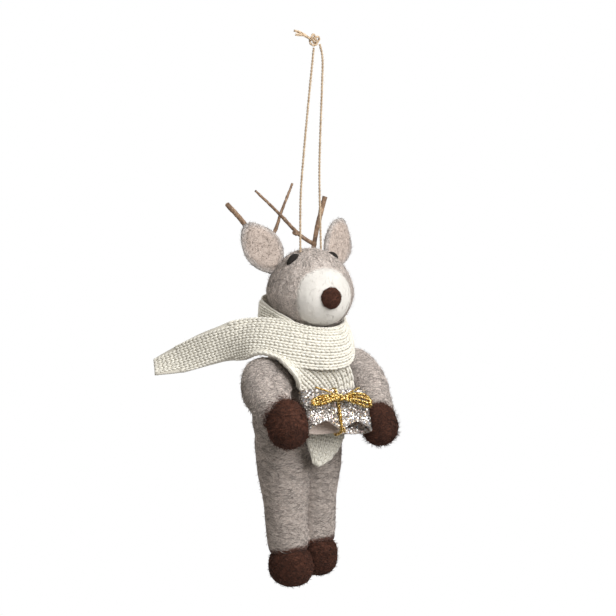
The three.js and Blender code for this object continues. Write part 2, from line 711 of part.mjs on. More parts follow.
const armRoom = [];
Object.entries(SIDES).forEach(([name, side]) => {
  const palm = handOf(side);
  const hand = knob(handWide(side), handWide(side), HAND_HIGH * (handWide(side) / HAND_WIDE), HAND_BLUNT);
  hand.rotateX(radians(-HAND_LEAN));
  hand.translate(palm.x, palm.y, palm.z);
  const girth = [UPPER_ARM_DIAMETER, UPPER_ARM_DIAMETER, WRIST_DIAMETER, WRIST_DIAMETER];
  const arm = feltForm(armSpine(side), girth, girth, ARM_BLUNT, LIMB_RINGS);
  add(`arm_${name}`, 'grey_wool', cut(arm, grown(hand), ...torsoSweep, armWireRoom));
  add(`hand_${name}`, 'brown_wool', cut(hand, armWireRoom, parcelRoom()));
  armRoom.push(...sweep(grown(arm), ARMS_DOWN, -ARMS_UP));
});

// Legs, pressed together at the middle, on a bent wire that passes through the hips
const HIP_Z = NECK_Z - TORSO_LONG + HIP_RISE;
const hipOf = (side) => point((side * HIP_SPAN) / 2, TORSO_BACK + HIP_BACK, HIP_Z);
const ankleOf = (side) => point(
  (side * ANKLE_SPAN) / 2, TORSO_BACK - ANKLE_FORWARD, HIP_Z - LEG_LONG + side * LEG_STEP,
);
const legWirePoints = (side) => [
  hipOf(side / 2).addScaledVector(UP, LEG_SINK / 2), hipOf(side).addScaledVector(UP, -LEG_SINK / 2),
  hipOf(side).lerp(ankleOf(side), 0.5), ankleOf(side).addScaledVector(UP, -FOOT_DROP),
];
const legWireRoute = new THREE.CatmullRomCurve3(
  [...legWirePoints(-1).toReversed(), ...legWirePoints(1)], false, 'centripetal',
);
const legWireRoom = cord(legWireRoute, WIRE_DIAMETER + 2 * WIRE_SLACK, WIRE_STEPS, FINE_SIDES);
add('leg_wire', 'steel_wire', cord(legWireRoute, WIRE_DIAMETER, WIRE_STEPS, FINE_SIDES));

const midline = (side) => new THREE.BoxGeometry(HIP_WIDE, 3 * HIP_DEEP, 3 * LEG_LONG)
  .translate((-side * (HIP_WIDE - GAP)) / 2, 0, HIP_Z - LEG_LONG / 2);
Object.entries(SIDES).forEach(([name, side]) => {
  const ankle = ankleOf(side);
  const sole = ankle.clone().add(point(0, -FOOT_FORWARD, -FOOT_DROP));
  const share = side > 0 ? LEFT_FOOT_SHARE : 1;
  const foot = knob(FOOT_WIDE * share, FOOT_LONG * share, FOOT_HIGH, FOOT_BLUNT)
    .translate(sole.x, sole.y, sole.z);
  const girth = [HIP_DIAMETER, THIGH_DIAMETER, KNEE_DIAMETER, ANKLE_DIAMETER];
  const spine = straight(hipOf(side).addScaledVector(UP, LEG_SINK), ankle.addScaledVector(UP, -FOOT_DROP));
  const leg = feltForm(spine, girth, girth, LEG_BLUNT, LIMB_RINGS);
  add(`leg_${name}`, 'grey_wool', cut(leg, torsoRoom, grown(foot), midline(side), legWireRoom));
  add(`foot_${name}`, 'brown_wool', cut(foot, legWireRoom, midline(side)));
});

// A short wire pins the head to the torso.
const neckPin = (extra) => cord(straight(
  point(0, TORSO_BACK, HEAD_Z - GAP + extra), point(0, TORSO_BACK, HEAD_Z - GAP - NECK_WIRE_LONG - extra),
), WIRE_DIAMETER + 2 * extra, 1);
const neckWireRoom = neckPin(GAP);
add('neck_wire', 'steel_wire', neckPin(0));
add('head', 'grey_wool', cut(head, ...sockets, stitchBore, neckWireRoom));
add('torso', 'grey_wool', cut(torsoForm, headRoom, armWireRoom, legWireRoom, neckWireRoom));

// Scarf: one knitted strip. Its flung end bends at the shoulder, its middle goes round the
// front and behind the neck, and its other end comes back under the front and hangs down.
const NECK_MIDDLE = point(0, TORSO_BACK, 0);
const flungHalf = (SCARF_WIDE * FLUNG_SHARE) / 2;
const FLUNG_ROOT = [-1.871, 0.855, -4.5];
const FRONT_POSTS = [
  { at: FLUNG_ROOT, flare: 0.05, wide: FLUNG_SHARE, bulge: 0.5 },
  { at: [-1.652, 0.345, -2.5], flare: 0.25, wide: 0.86, bulge: 0.8 },
  { at: [-1.406, -0.4, -1.1], flare: 0.55, wide: 0.93, bulge: 1 },
  { at: [-0.916, -1.236, -2.1], flare: 0.4, wide: 0.97, bulge: 1.3 },
  { at: [-0.226, -1.764, -3.5], flare: 0.25, wide: 0.95, bulge: 1.4 },
  { at: [0.387, -1.618, -3.3], flare: 0.3, wide: 0.9, bulge: 1.2 },
  { at: [0.826, -0.945, 0], flare: 0.4, wide: 0.75, bulge: 1 },
  { at: [0.955, -0.109, 3.1], flare: 0.35, wide: 0.66, bulge: 0.8 },
  { at: [0.748, 0.745, 4.5], flare: 0.1, wide: 0.76, bulge: 0.6 },
  { at: [0.194, 1.218, 4.7], flare: 0, wide: 0.8, bulge: 0.5 },
];
const COLLAR_POSTS = [
  { at: [0.129, 1.245, 4.7], flare: 0, wide: 0.8, bulge: 0.5 },
  { at: [-0.516, 1.091, 4.7], flare: 0, wide: 0.8, bulge: 0.5 },
  { at: [-0.929, 0.436, 4.1], flare: 0, wide: 0.78, bulge: 0.6 },
  { at: [-0.981, -0.436, 2.9], flare: 0.1, wide: 0.72, bulge: 0.6 },
  { at: [-0.658, -1.127, -0.3], flare: 0.2, wide: 0.66, bulge: 0.5 },
];
// Across the body, out from the belly, and the share of the length that hangs above
const HANGING_ROUTE = [[-6, 3.7, 0], [-3.6, 3.9, 0.18], [-2.2, 3.1, 0.47], [-1.8, 3.7, 0.76], [-3.4, 4.3, 1]];
// Shares of the flung end's reach out, back and down from the place where it bends
const FLUNG_ROUTE = [
  [-0.215, -0.284, -0.154], [0, 0, 0], [0.22, 0.247, 0.23], [0.57, 0.63, 0.635], [1, 1, 1],
];
const flungHinge = onShoulders(...FLUNG_ROOT);

const frontBand = band(posted(FRONT_POSTS, NECK_MIDDLE, 3 * FRONT_POSTS.length), SCARF_THICK);
const collarBand = band(posted(COLLAR_POSTS, NECK_MIDDLE, 3 * COLLAR_POSTS.length), SCARF_THICK);

// The hanging end lies against the belly and narrows to its tip.
const hangingRoute = curved(...HANGING_ROUTE.map(([across, out, share]) => point(
  across, TORSO_BACK - BELLY_DEEP / 2 - out, CHIN_Z - HANGING_START - share * HANGING_LONG,
)));
const hangingBand = band(Array.from({ length: STITCH_STEPS + 1 }, (_, i) => {
  const t = i / STITCH_STEPS;
  const tangent = hangingRoute.getTangentAt(t);
  const width = ACROSS.clone().addScaledVector(tangent, -tangent.x).normalize();
  const narrowed = THREE.MathUtils.smoothstep(t, HANGING_NARROWS, 1);
  return {
    centre: hangingRoute.getPointAt(t), width, face: width.clone().cross(tangent),
    half: THREE.MathUtils.lerp(SCARF_WIDE, HANGING_TIP_WIDE, narrowed) / 2, bulge: SCARF_BULGE,
  };
}), SCARF_THICK);

// The flung end stands out from the shoulder and turns its upper edge away towards its tip.
// Its root is a half disc about the place where it bends.
const flungRoute = curved(...FLUNG_ROUTE.map(([out, back, down]) => flungHinge.clone()
  .add(point(-out * FLUNG_OUT, back * FLUNG_BACK, -down * FLUNG_DOWN))));
const flungLength = flungRoute.getLength();
const flungBand = band(Array.from({ length: ROUND }, (_, i) => {
  const t = 1 - Math.cos((Math.PI / 2) * ((i + POLE_TRIM) / (ROUND - 1 + POLE_TRIM)));
  const tangent = flungRoute.getTangentAt(t);
  const reach = t * flungLength - flungHalf;
  const past = Math.max(0, reach / (flungLength - flungHalf));
  const round = Math.sqrt(1 - Math.min(0, reach / flungHalf) ** 2);
  const width = UP.clone().negate().addScaledVector(tangent, tangent.z).normalize()
    .applyAxisAngle(tangent, radians(SCARF_LEAN + SCARF_TWIST * past * past));
  return {
    centre: flungRoute.getPointAt(t), width, face: tangent.clone().cross(width),
    half: THREE.MathUtils.lerp(flungHalf, FLUNG_TIP_WIDE / 2, past) * round,
    bulge: THREE.MathUtils.lerp(SCARF_BULGE, -SCARF_BULGE, past),
  };
}), SCARF_THICK);

// Room for the flung end to bend: a disc about a level axis square to its length
const flungAxis = UP.clone().cross(flungRoute.getTangentAt(flungHalf / flungLength)).normalize();
const bendRoom = new THREE.CylinderGeometry(flungHalf + GAP, flungHalf + GAP, 6 * SCARF_THICK, WIRE_STEPS);
bendRoom.applyQuaternion(new THREE.Quaternion().setFromUnitVectors(point(0, 1, 0), flungAxis));
bendRoom.translate(flungHinge.x, flungHinge.y, flungHinge.z);

const frontRoom = grown(frontBand);
const rounds = [headRoom, muzzleRoom, torsoRoom, ...armRoom];
add('scarf_front', 'cream_knit', cut(frontBand, ...rounds, bendRoom));
add('scarf_collar', 'cream_knit', cut(collarBand, frontRoom, ...rounds));
add('scarf_hanging_end', 'cream_knit', cut(hangingBand, frontRoom, grown(collarBand), ...rounds));
add('scarf_flung_end', 'cream_knit', flungBand);

export default figure;
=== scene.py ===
# %% [markdown]
# # A felt reindeer on a loop of twine
# The ornament is wool, jabbed with a barbed needle until it holds its shape, with twigs for
# antlers, a scarf knitted in one strip, and a parcel of glitter ribbon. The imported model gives
# every place and size. This script dresses each of its pieces in what it is really made of.

# %% Load the model
import json
import math
import bpy
import numpy as np
from mathutils import Matrix, Vector
from mathutils.bvhtree import BVHTree
from mathutils.kdtree import KDTree

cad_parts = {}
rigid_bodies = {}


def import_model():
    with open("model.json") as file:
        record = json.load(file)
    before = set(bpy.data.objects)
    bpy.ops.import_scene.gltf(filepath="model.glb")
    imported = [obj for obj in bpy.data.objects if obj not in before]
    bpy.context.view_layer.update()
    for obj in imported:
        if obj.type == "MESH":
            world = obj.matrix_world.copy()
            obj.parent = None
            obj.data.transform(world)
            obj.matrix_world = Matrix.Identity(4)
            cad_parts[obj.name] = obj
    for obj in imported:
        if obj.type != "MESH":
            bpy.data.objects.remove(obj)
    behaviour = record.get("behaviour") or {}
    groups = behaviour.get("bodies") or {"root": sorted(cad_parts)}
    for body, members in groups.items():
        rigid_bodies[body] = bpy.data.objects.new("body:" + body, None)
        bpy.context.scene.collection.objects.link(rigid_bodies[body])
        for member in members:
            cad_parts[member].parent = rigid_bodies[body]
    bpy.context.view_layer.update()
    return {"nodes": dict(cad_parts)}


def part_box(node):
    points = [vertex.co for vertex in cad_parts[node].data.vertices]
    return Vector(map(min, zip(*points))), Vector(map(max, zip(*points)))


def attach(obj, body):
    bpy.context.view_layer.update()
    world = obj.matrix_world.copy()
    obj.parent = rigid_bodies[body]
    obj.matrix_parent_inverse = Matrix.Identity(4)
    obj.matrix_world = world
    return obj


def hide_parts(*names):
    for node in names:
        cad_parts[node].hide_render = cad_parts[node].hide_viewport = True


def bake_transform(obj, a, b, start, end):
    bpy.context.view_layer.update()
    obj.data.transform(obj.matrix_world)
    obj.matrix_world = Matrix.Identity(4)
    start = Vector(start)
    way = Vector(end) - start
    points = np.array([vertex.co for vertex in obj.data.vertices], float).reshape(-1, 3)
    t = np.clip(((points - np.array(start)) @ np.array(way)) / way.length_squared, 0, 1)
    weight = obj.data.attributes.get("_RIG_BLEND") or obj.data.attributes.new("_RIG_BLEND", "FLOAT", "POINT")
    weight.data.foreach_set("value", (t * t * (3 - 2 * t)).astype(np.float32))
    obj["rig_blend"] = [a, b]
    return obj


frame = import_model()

MM = 0.001
CROWN = np.array([0, 0, -74.2])  # top of the head, from which the figure's places are counted

# %% [markdown]
# The camera stands a little above the ornament and in front of its right shoulder. A long lens
# keeps the lines nearly parallel, as in a catalogue photograph. The small roll is there because
# the ornament doesn't hang quite straight.

# %% Camera
VIEW_TURN, VIEW_RISE, VIEW_ROLL = math.radians(-38), math.radians(10), math.radians(1.47)
VIEW_DISTANCE, VIEW_CENTRE, VIEW_SHIFT = 0.75, -96.2 * MM, -0.63 * MM
SENSOR = 36
FOCAL_SHARE = 2027 / 616  # focal length as a share of the picture's width

away = Vector((math.sin(VIEW_TURN) * math.cos(VIEW_RISE), -math.cos(VIEW_TURN) * math.cos(VIEW_RISE),
               math.sin(VIEW_RISE)))
level = Vector((math.cos(VIEW_TURN), math.sin(VIEW_TURN), 0))
upright = away.cross(level)
view_right = level * math.cos(VIEW_ROLL) + upright * math.sin(VIEW_ROLL)
view_up = upright * math.cos(VIEW_ROLL) - level * math.sin(VIEW_ROLL)

bpy.ops.object.select_all(action="DESELECT")
bpy.ops.object.camera_add()
camera = bpy.context.object
camera.name = "camera"
camera.data.sensor_width = SENSOR
camera.data.lens = SENSOR * FOCAL_SHARE
camera.data.clip_start = 0.01
camera.matrix_world = Matrix.Translation(
    Vector((0, 0, VIEW_CENTRE)) + view_right * VIEW_SHIFT + away * VIEW_DISTANCE,
) @ Matrix((view_right, view_up, away)).transposed().to_4x4()
bpy.context.scene.camera = camera
print("camera at", tuple(round(x, 4) for x in camera.location), "lens", round(camera.data.lens, 1))

# %% [markdown]
# Studio light: a softbox to the upper right of the camera gives the wool its soft shading. Two
# weaker boxes and a faint surround fill the shadows. The camera itself sees the surround as white,
# so that the backdrop is plain from every side. The floor lies well below the feet, because the
# ornament hangs.

# %% Floor and light
FLOOR_Z, FLOOR_RADIUS = -0.6, 0.8
PAPER_WHITE, EXPOSURE = 0.9, -0.585
FILL_COLOUR, FILL_BELOW, FILL_ABOVE = (1, 0.95, 0.88, 1), 0.38, 0.5
BACKDROP = 1.5
LIT_PLACE = Vector((0, 0, -0.1))
SOFTBOXES = {
    # right of the view, up and towards the camera in metres, then width and power
    "softbox": (0.25, 0.19, 0.305, 0.34, 3.85),
    "side_fill": (-0.3, 0.3, 0.24, 0.4, 0.55),
    "back_fill": (-0.12, 0.2, -0.36, 0.4, 1.8),
}

scene = bpy.context.scene
scene.view_settings.view_transform = "Standard"
scene.view_settings.exposure = EXPOSURE
world = bpy.data.worlds.new("white_surround")
world.use_nodes = True
sky = world.node_tree
fill, backdrop = sky.nodes["Background"], sky.nodes.new("ShaderNodeBackground")
fill.inputs["Color"].default_value = FILL_COLOUR
backdrop.inputs["Color"].default_value = (1, 1, 1, 1)
backdrop.inputs["Strength"].default_value = BACKDROP
toward, parts = sky.nodes.new("ShaderNodeTexCoord"), sky.nodes.new("ShaderNodeSeparateXYZ")
level_range = sky.nodes.new("ShaderNodeMapRange")
for socket, value in (("From Min", -0.5), ("From Max", 0.5),
                      ("To Min", FILL_BELOW), ("To Max", FILL_ABOVE)):
    level_range.inputs[socket].default_value = value
rays, choice = sky.nodes.new("ShaderNodeLightPath"), sky.nodes.new("ShaderNodeMixShader")
sky.links.new(toward.outputs["Generated"], parts.inputs["Vector"])
sky.links.new(parts.outputs["Z"], level_range.inputs["Value"])
sky.links.new(level_range.outputs["Result"], fill.inputs["Strength"])
sky.links.new(rays.outputs["Is Camera Ray"], choice.inputs["Fac"])
sky.links.new(fill.outputs["Background"], choice.inputs[1])
sky.links.new(backdrop.outputs["Background"], choice.inputs[2])
sky.links.new(choice.outputs["Shader"], sky.nodes["World Output"].inputs["Surface"])
scene.world = world

bpy.ops.mesh.primitive_circle_add(vertices=96, radius=FLOOR_RADIUS, fill_type="NGON",
                                  location=(0, 0, FLOOR_Z))
floor = bpy.context.object
floor.name = "floor"
paper = bpy.data.materials.new("white_paper")
paper.use_nodes = True
paper_shader = paper.node_tree.nodes["Principled BSDF"]
paper_shader.inputs["Base Color"].default_value = (PAPER_WHITE, PAPER_WHITE, PAPER_WHITE, 1)
paper_shader.inputs["Roughness"].default_value = 0.9
floor.data.materials.append(paper)

for name, (right, up, front, wide, power) in SOFTBOXES.items():
    place = LIT_PLACE + view_right * right + view_up * up + away * front
    bpy.ops.object.light_add(type="AREA", location=place)
    lamp = bpy.context.object
    lamp.name = name
    lamp.data.shape = "SQUARE"
    lamp.data.size = wide
    lamp.data.energy = power
    lamp.rotation_mode = "QUATERNION"
    lamp.rotation_quaternion = (place - LIT_PLACE).to_track_quat("Z", "Y")
    print(name, "at", tuple(round(x, 2) for x in place))

# %% [markdown]
# Finishes come from a few node helpers. Every pattern reads Object coordinates in metres, so a
# scale of 1000 repeats about once in each millimetre. A point value called `tint` says how light
# each fibre or stitch is, because wool is never one colour.

# %% Helpers for materials
def start_finish(name, roughness, metallic=0.0, sheen=0.0):
    """A new material, with its node tree and its shader."""
    finish = bpy.data.materials.new(name)
    finish.use_nodes = True
    tree = finish.node_tree
    shader = tree.nodes["Principled BSDF"]
    shader.inputs["Roughness"].default_value = roughness
    shader.inputs["Metallic"].default_value = metallic
    shader.inputs["Sheen Weight"].default_value = sheen
    shader.inputs["Sheen Roughness"].default_value = 0.5
    return finish, tree, shader


def add_noise(tree, scale, detail=3.0, stretch=(1, 1, 1), distortion=0.0):
    """Noise on Object coordinates. A stretch above 1 makes the grains shorter along that axis."""
    place = tree.nodes.new("ShaderNodeTexCoord")
    mapping = tree.nodes.new("ShaderNodeMapping")
    mapping.inputs["Scale"].default_value = stretch
    noise = tree.nodes.new("ShaderNodeTexNoise")
    noise.inputs["Scale"].default_value = scale
    noise.inputs["Detail"].default_value = detail
    noise.inputs["Distortion"].default_value = distortion
    tree.links.new(place.outputs["Object"], mapping.inputs["Vector"])
    tree.links.new(mapping.outputs["Vector"], noise.inputs["Vector"])
    return noise.outputs["Fac"]


def add_ramp(tree, value, stops):
    """A colour ramp through (place, colour) stops."""
    ramp = tree.nodes.new("ShaderNodeValToRGB")
    while len(ramp.color_ramp.elements) < len(stops):
        ramp.color_ramp.elements.new(0.5)
    for element, (place, colour) in zip(ramp.color_ramp.elements, stops):
        element.position = place
        element.color = (*colour, 1)
    tree.links.new(value, ramp.inputs["Fac"])
    return ramp.outputs["Color"]


def add_mix(tree, first, second, blend="MIX", share=0.5):
    """Two colours mixed. The share is a number or another node's output."""
    mix = tree.nodes.new("ShaderNodeMix")
    mix.data_type = "RGBA"
    mix.blend_type = blend
    tree.links.new(first, mix.inputs["A"])
    tree.links.new(second, mix.inputs["B"])
    if isinstance(share, (int, float)):
        mix.inputs["Factor"].default_value = share
    else:
        tree.links.new(share, mix.inputs["Factor"])
    return mix.outputs["Result"]


def add_point_value(tree, name, output="Fac"):
    """The value that a piece stores under a name at each of its points."""
    value = tree.nodes.new("ShaderNodeAttribute")
    value.attribute_name = name
    return value.outputs[output]


def add_bump(tree, shader, height, strength, depth):
    """Fine relief from a height, with its depth in metres."""
    bump = tree.nodes.new("ShaderNodeBump")
    bump.inputs["Strength"].default_value = strength
    bump.inputs["Distance"].default_value = depth
    tree.links.new(height, bump.inputs["Height"])
    tree.links.new(bump.outputs["Normal"], shader.inputs["Normal"])


def grey(value):
    return (value, value, value)


# %% [markdown]
# Wool for felting is carded, so its fibres lie roughly side by side, with darker and lighter ones
# mixed. The material has soft patches of a few millimetres, fine clumps, thin dark streaks and a
# fine bump. The `tint` of each fibre goes on top. Where wool of a second colour is felted in, a
# point value called `share` says how much of it shows, so that the two meet without an edge.

# %% Wool finishes
def wool(name, dark, light, patch=0.14, sheen=0.12, second=None, streak=1.0):
    """Wool from its dark to its light fibres. Streak says how strong the dark streaks are."""
    finish, tree, shader = start_finish(name, roughness=0.95, sheen=sheen)
    clumps = add_noise(tree, 2300, detail=4, stretch=(1, 1, 2.4), distortion=0.5)
    colour = add_ramp(tree, clumps, [(0.32, dark), (0.68, light)])
    streaks = add_noise(tree, 850, detail=2, stretch=(1, 1, 5), distortion=1.6)
    streaks = add_ramp(tree, streaks, [(0.4, grey(0.68)), (0.53, grey(1.07))])
    colour = add_mix(tree, colour, streaks, "MULTIPLY", streak)
    if second:
        other = add_ramp(tree, clumps, [(0.32, second[0]), (0.68, second[1])])
        colour = add_mix(tree, colour, other, "MIX", add_point_value(tree, "share"))
    patches = add_ramp(tree, add_noise(tree, 150, detail=2), [(0.3, grey(1 - patch)), (0.7, grey(1))])
    colour = add_mix(tree, colour, patches, "MULTIPLY", 1.0)
    tints = add_ramp(tree, add_point_value(tree, "tint"),
                     [(0, grey(0.4)), (0.5, grey(1)), (1, grey(1.35))])
    colour = add_mix(tree, colour, tints, "MULTIPLY", 1.0)
    tree.links.new(colour, shader.inputs["Base Color"])
    relief = add_noise(tree, 2600, detail=3, stretch=(1, 1, 2))
    add_bump(tree, shader, relief, strength=0.4, depth=0.2 * MM)
    return finish


# dark and light fibres of each wool
WHITE = ((0.73, 0.70, 0.655), (0.81, 0.785, 0.74))
BEIGE = ((0.44, 0.36, 0.31), (0.66, 0.56, 0.495))
BROWN = ((0.030, 0.0095, 0.005), (0.15, 0.052, 0.028))
GREY = ((0.47, 0.405, 0.365), (0.76, 0.685, 0.635))
# the body's grey is the head's grey made darker: painted shade for the less lit torso and legs
BODY_GREY_PAINTED_SHADE = ((0.405, 0.345, 0.308), (0.655, 0.585, 0.54))
HEAD_WOOL = wool("grey_wool_head", *GREY, second=WHITE)
EAR_WOOL = wool("grey_wool_ear", (0.54, 0.505, 0.485), (0.76, 0.725, 0.70), second=BEIGE, streak=0.4)
ARM_WOOL = wool("grey_wool_arm", *GREY, second=BROWN)
BODY_WOOL_PAINTED_SHADE = wool("grey_wool_body_painted_shade", *BODY_GREY_PAINTED_SHADE, second=BROWN)
BROWN_WOOL = wool("brown_wool", *BROWN, patch=0.2, sheen=0.0)
DARK_WOOL = wool("dark_wool", (0.006, 0.0045, 0.0035), (0.022, 0.016, 0.012), patch=0.1, sheen=0.0)
print("wool finishes ready")

# %% [markdown]
# Every piece ends as one mesh object at the origin. An operator acts on all that is selected, so
# a piece is selected alone before it is worked on. Each finished piece is then carried by a body
# of the model, and may stand in for one of the model's solids.

# %% Helpers for pieces
def linked(name, data):
    """A new object with the given mesh or curve, in the scene."""
    piece = bpy.data.objects.new(name, data)
    scene.collection.objects.link(piece)
    return piece


def select_only(piece):
    bpy.ops.object.select_all(action="DESELECT")
    piece.select_set(True)
    bpy.context.view_layer.objects.active = piece


def corners_of(piece):
    return np.array([v.co for v in piece.data.vertices])


def point_value(piece, name, values):
    """Stores one value, or one for each point, under a name."""
    values = np.broadcast_to(np.asarray(values, np.float32), len(piece.data.vertices))
    piece.data.attributes.new(name, "FLOAT", "POINT").data.foreach_set("value", values)


def dress(piece, finish):
    """Gives a piece one finish in place of those it came with."""
    piece.data.materials.clear()
    piece.data.materials.append(finish)


def carry(piece, body, slot, *nodes):
    """Says which body carries a piece, and the solids that it stands in for. Its slot is not used."""
    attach(piece, body)
    if nodes:
        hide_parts(*nodes)


# %% [markdown]
# Twine, gold cord, twigs and loose hairs are all round lines. A few points are made a smooth line,
# plies can wind round it, and a Blender curve with a round bevel makes tubes along the lines.
# Convert then turns them into one mesh.

# %% Lines and tubes
def smooth_line(points, count):
    """A smooth line through the points, evenly spaced, by Catmull-Rom pieces."""
    points = np.array(points, float)
    ends = np.vstack([2 * points[0] - points[1], points, 2 * points[-1] - points[-2]])
    fine = []
    for a, b, c, d in zip(ends, ends[1:], ends[2:], ends[3:]):
        for t in np.linspace(0, 1, 24, endpoint=False):
            fine.append(0.5 * (2 * b + (c - a) * t + (2 * a - 5 * b + 4 * c - d) * t * t
                               + (3 * b - a - 3 * c + d) * t ** 3))
    fine = np.vstack([*fine, points[-1]])
    return spaced(fine, count)


def spaced(line, count):
    """The same line with evenly spaced points. Columns after the first three go along."""
    run = np.r_[0, np.cumsum(np.linalg.norm(np.diff(line[:, :3], axis=0), axis=1))]
    steps = np.linspace(0, run[-1], count)
    return np.stack([np.interp(steps, run, line[:, k]) for k in range(line.shape[1])], 1)


def unit(vectors):
    return vectors / np.maximum(np.linalg.norm(vectors, axis=-1, keepdims=True), 1e-12)


def frames_along(line):
    """Two directions across the line at each point, carried along without twisting."""
    ahead = unit(np.gradient(line, axis=0))
    side = np.cross(ahead[0], (0.31, 0.2, 0.93) if abs(ahead[0][2]) < 0.8 else (0.93, 0.3, 0.1))
    sides = []
    for direction in ahead:
        side = side - direction * side.dot(direction)
        side = side / np.linalg.norm(side)
        sides.append(side)
    sides = np.array(sides)
    return sides, np.cross(ahead, sides)


def plies(line, reach, turns, count=2):
    """Lines that wind round a line at a distance, as the plies of a cord do."""
    across, over = frames_along(line)
    first = np.linspace(0, 2 * np.pi * turns, len(line))
    wound_lines = []
    for k in range(count):
        angle = (first + 2 * np.pi * k / count)[:, None]
        wound_lines.append(line + reach * (np.cos(angle) * across + np.sin(angle) * over))
    return wound_lines


def tubes(name, lines, diameter, finish, taper=None, sides=1, tint=(0.3, 0.7), seed=1):
    """Round tubes along lines in metres, as one mesh. Each tube gets a tint of its own."""
    chance = np.random.default_rng(seed)
    curve = bpy.data.curves.new(name, "CURVE")
    curve.dimensions = "3D"
    curve.bevel_depth = diameter / 2
    curve.bevel_resolution = sides
    curve.use_fill_caps = True
    for line in lines:
        spline = curve.splines.new("POLY")
        spline.points.add(len(line) - 1)
        spline.points.foreach_set("co", np.c_[line, np.ones(len(line))].ravel())
        if taper is not None:
            spline.points.foreach_set("radius", np.interp(np.linspace(0, 1, len(line)), *taper))
    select_only(linked(name, curve))
    bpy.ops.object.convert(target="MESH")
    piece = bpy.context.object
    bpy.ops.object.shade_smooth()
    corners = len(piece.data.vertices)
    tints = np.repeat(chance.uniform(*tint, len(lines)), corners // len(lines))
    point_value(piece, "tint", np.resize(tints, corners))
    dress(piece, finish)
    return piece


# %% [markdown]
# Jute is a coarse, pale brown plant fibre. Noise drawn out along the upright strands gives the
# streaks of its colour, and the same noise gives their relief.

# %% Jute finish
def jute_finish():
    finish, tree, shader = start_finish("jute_twine", roughness=0.85, sheen=0.15)
    streaks = add_noise(tree, 1400, detail=4, stretch=(1, 1, 0.35), distortion=0.6)
    colour = add_ramp(tree, streaks, [(0.3, (0.38, 0.26, 0.155)), (0.7, (0.70, 0.56, 0.40))])
    tints = add_ramp(tree, add_point_value(tree, "tint"), [(0, grey(0.7)), (1, grey(1.25))])
    tree.links.new(add_mix(tree, colour, tints, "MULTIPLY", 1.0), shader.inputs["Base Color"])
    add_bump(tree, shader, streaks, strength=0.6, depth=0.15 * MM)
    return finish


JUTE = jute_finish()
print("jute finish ready")

# %% [markdown]
# The hang loop is one length of jute twine, doubled and knotted at the top, with both ends sewn
# into the crown. Jute twine is spun from two plies, so each strand here is two thin tubes that
# wind round one another along the strand's line.

# %% Hang loop
TWINE, TWIST = 0.9, 2.4  # thickness, and the length of one turn of the plies
STRANDS = {
    "right": [[-4.8, 0.3, -75.03], [-4.6, 1.2, -55], [-3.9, 0.7, -37], [-2.6, 0.3, -18],
              [-1.2, 0, -0.6]],
    "left": [[4.8, 0.3, -75.03], [3.9, 1.2, -48], [3.4, 0.7, -30], [3.3, 0.3, -14], [3, 0.1, -4.5],
             [1.5, 0, 0.7]],
}
strands, strand_lines = {}, {}
for side, route in STRANDS.items():
    line = smooth_line(route, 260) * MM
    long = np.linalg.norm(np.diff(line, axis=0), axis=1).sum()
    pair = plies(line, 0.24 * TWINE * MM, long / (TWIST * MM))
    strands[side] = tubes(f"twine_{side}", pair, 0.54 * TWINE * MM, JUTE, sides=2, seed=3)
    strand_lines[side] = (line, long)
    print("twine", side, round(long, 4), "m long")

# %% [markdown]
# The knot is an overhand knot of the doubled twine, pulled tight. A three-lobed knot line gives
# its crossings, and two short frayed ends stand out of it. Loose jute hairs lie along the strands.

# %% Knot, cut ends and loose hairs
def loose_hairs(name, line, count, reach, length, thick, finish, seed):
    """Short curved hairs that leave a cord's surface."""
    chance = np.random.default_rng(seed)
    across, over = frames_along(line)
    ahead = unit(np.gradient(line, axis=0))
    hairs = []
    for at in chance.integers(2, len(line) - 2, count):
        angle = chance.uniform(0, 2 * np.pi)
        out = np.cos(angle) * across[at] + np.sin(angle) * over[at]
        lean = ahead[at] * chance.choice([-1, 1])
        size = length * chance.uniform(0.4, 1.2)
        hairs.append(np.array([line[at] + out * reach * 0.8 + (lean * t + out * 0.55 * t * t) * size
                               for t in np.linspace(0, 1, 4)]))
    return tubes(name, hairs, thick, finish, taper=([0, 1], [1, 0.4]), sides=0, tint=(0.3, 1),
                 seed=seed)


KNOT_CENTRE, KNOT_RADIUS = np.array([-1, 0, 2.25]), 1.35
turn = np.linspace(0, 4 * np.pi, 200)
knot_line = np.stack([KNOT_RADIUS * (2 + np.cos(1.5 * turn)) * 0.5 * np.cos(turn),
                      -KNOT_RADIUS * np.sin(1.5 * turn) * 0.5,
                      KNOT_RADIUS * (2 + np.cos(1.5 * turn)) * 0.5 * np.sin(turn)], 1) + KNOT_CENTRE
knot = tubes("twine_knot", plies(knot_line * MM, 0.26 * TWINE * MM, turns=11), 0.56 * TWINE * MM, JUTE,
             sides=2)
carry(knot, "hanger", "jute_twine", "hang_knot")
cut_ends = {}
for side, y, spread in (("right", -0.45, -0.7), ("left", 0.45, 0.7)):
    root = KNOT_CENTRE + (-1.9, y, 0.45)
    route = [root, root + (-3.6, 0, 1.6 + spread / 2), root + (-7, 0, 2.2 + spread)]
    end_line = smooth_line(route, 60) * MM
    fray = [*plies(end_line, 0.22 * TWINE * MM, turns=3),
            *plies(end_line, 0.4 * TWINE * MM, turns=0.6, count=4)]
    cut_ends[side] = tubes(f"twine_end_{side}", fray, 0.34 * TWINE * MM, JUTE, sides=1, tint=(0.4, 1))
    carry(cut_ends[side], "hanger", "jute_twine", f"knot_tail_{side}")

for side, (line, long) in strand_lines.items():
    hairs = loose_hairs(f"twine_hairs_{side}", line, count=90, reach=0.45 * TWINE * MM, length=1.5 * MM,
                        thick=0.05 * MM, finish=JUTE, seed=7)
    carry(hairs, "hanger", "jute_twine")
    carry(strands[side], "hanger", "jute_twine", f"hang_strand_{side}")
print("hang loop made")

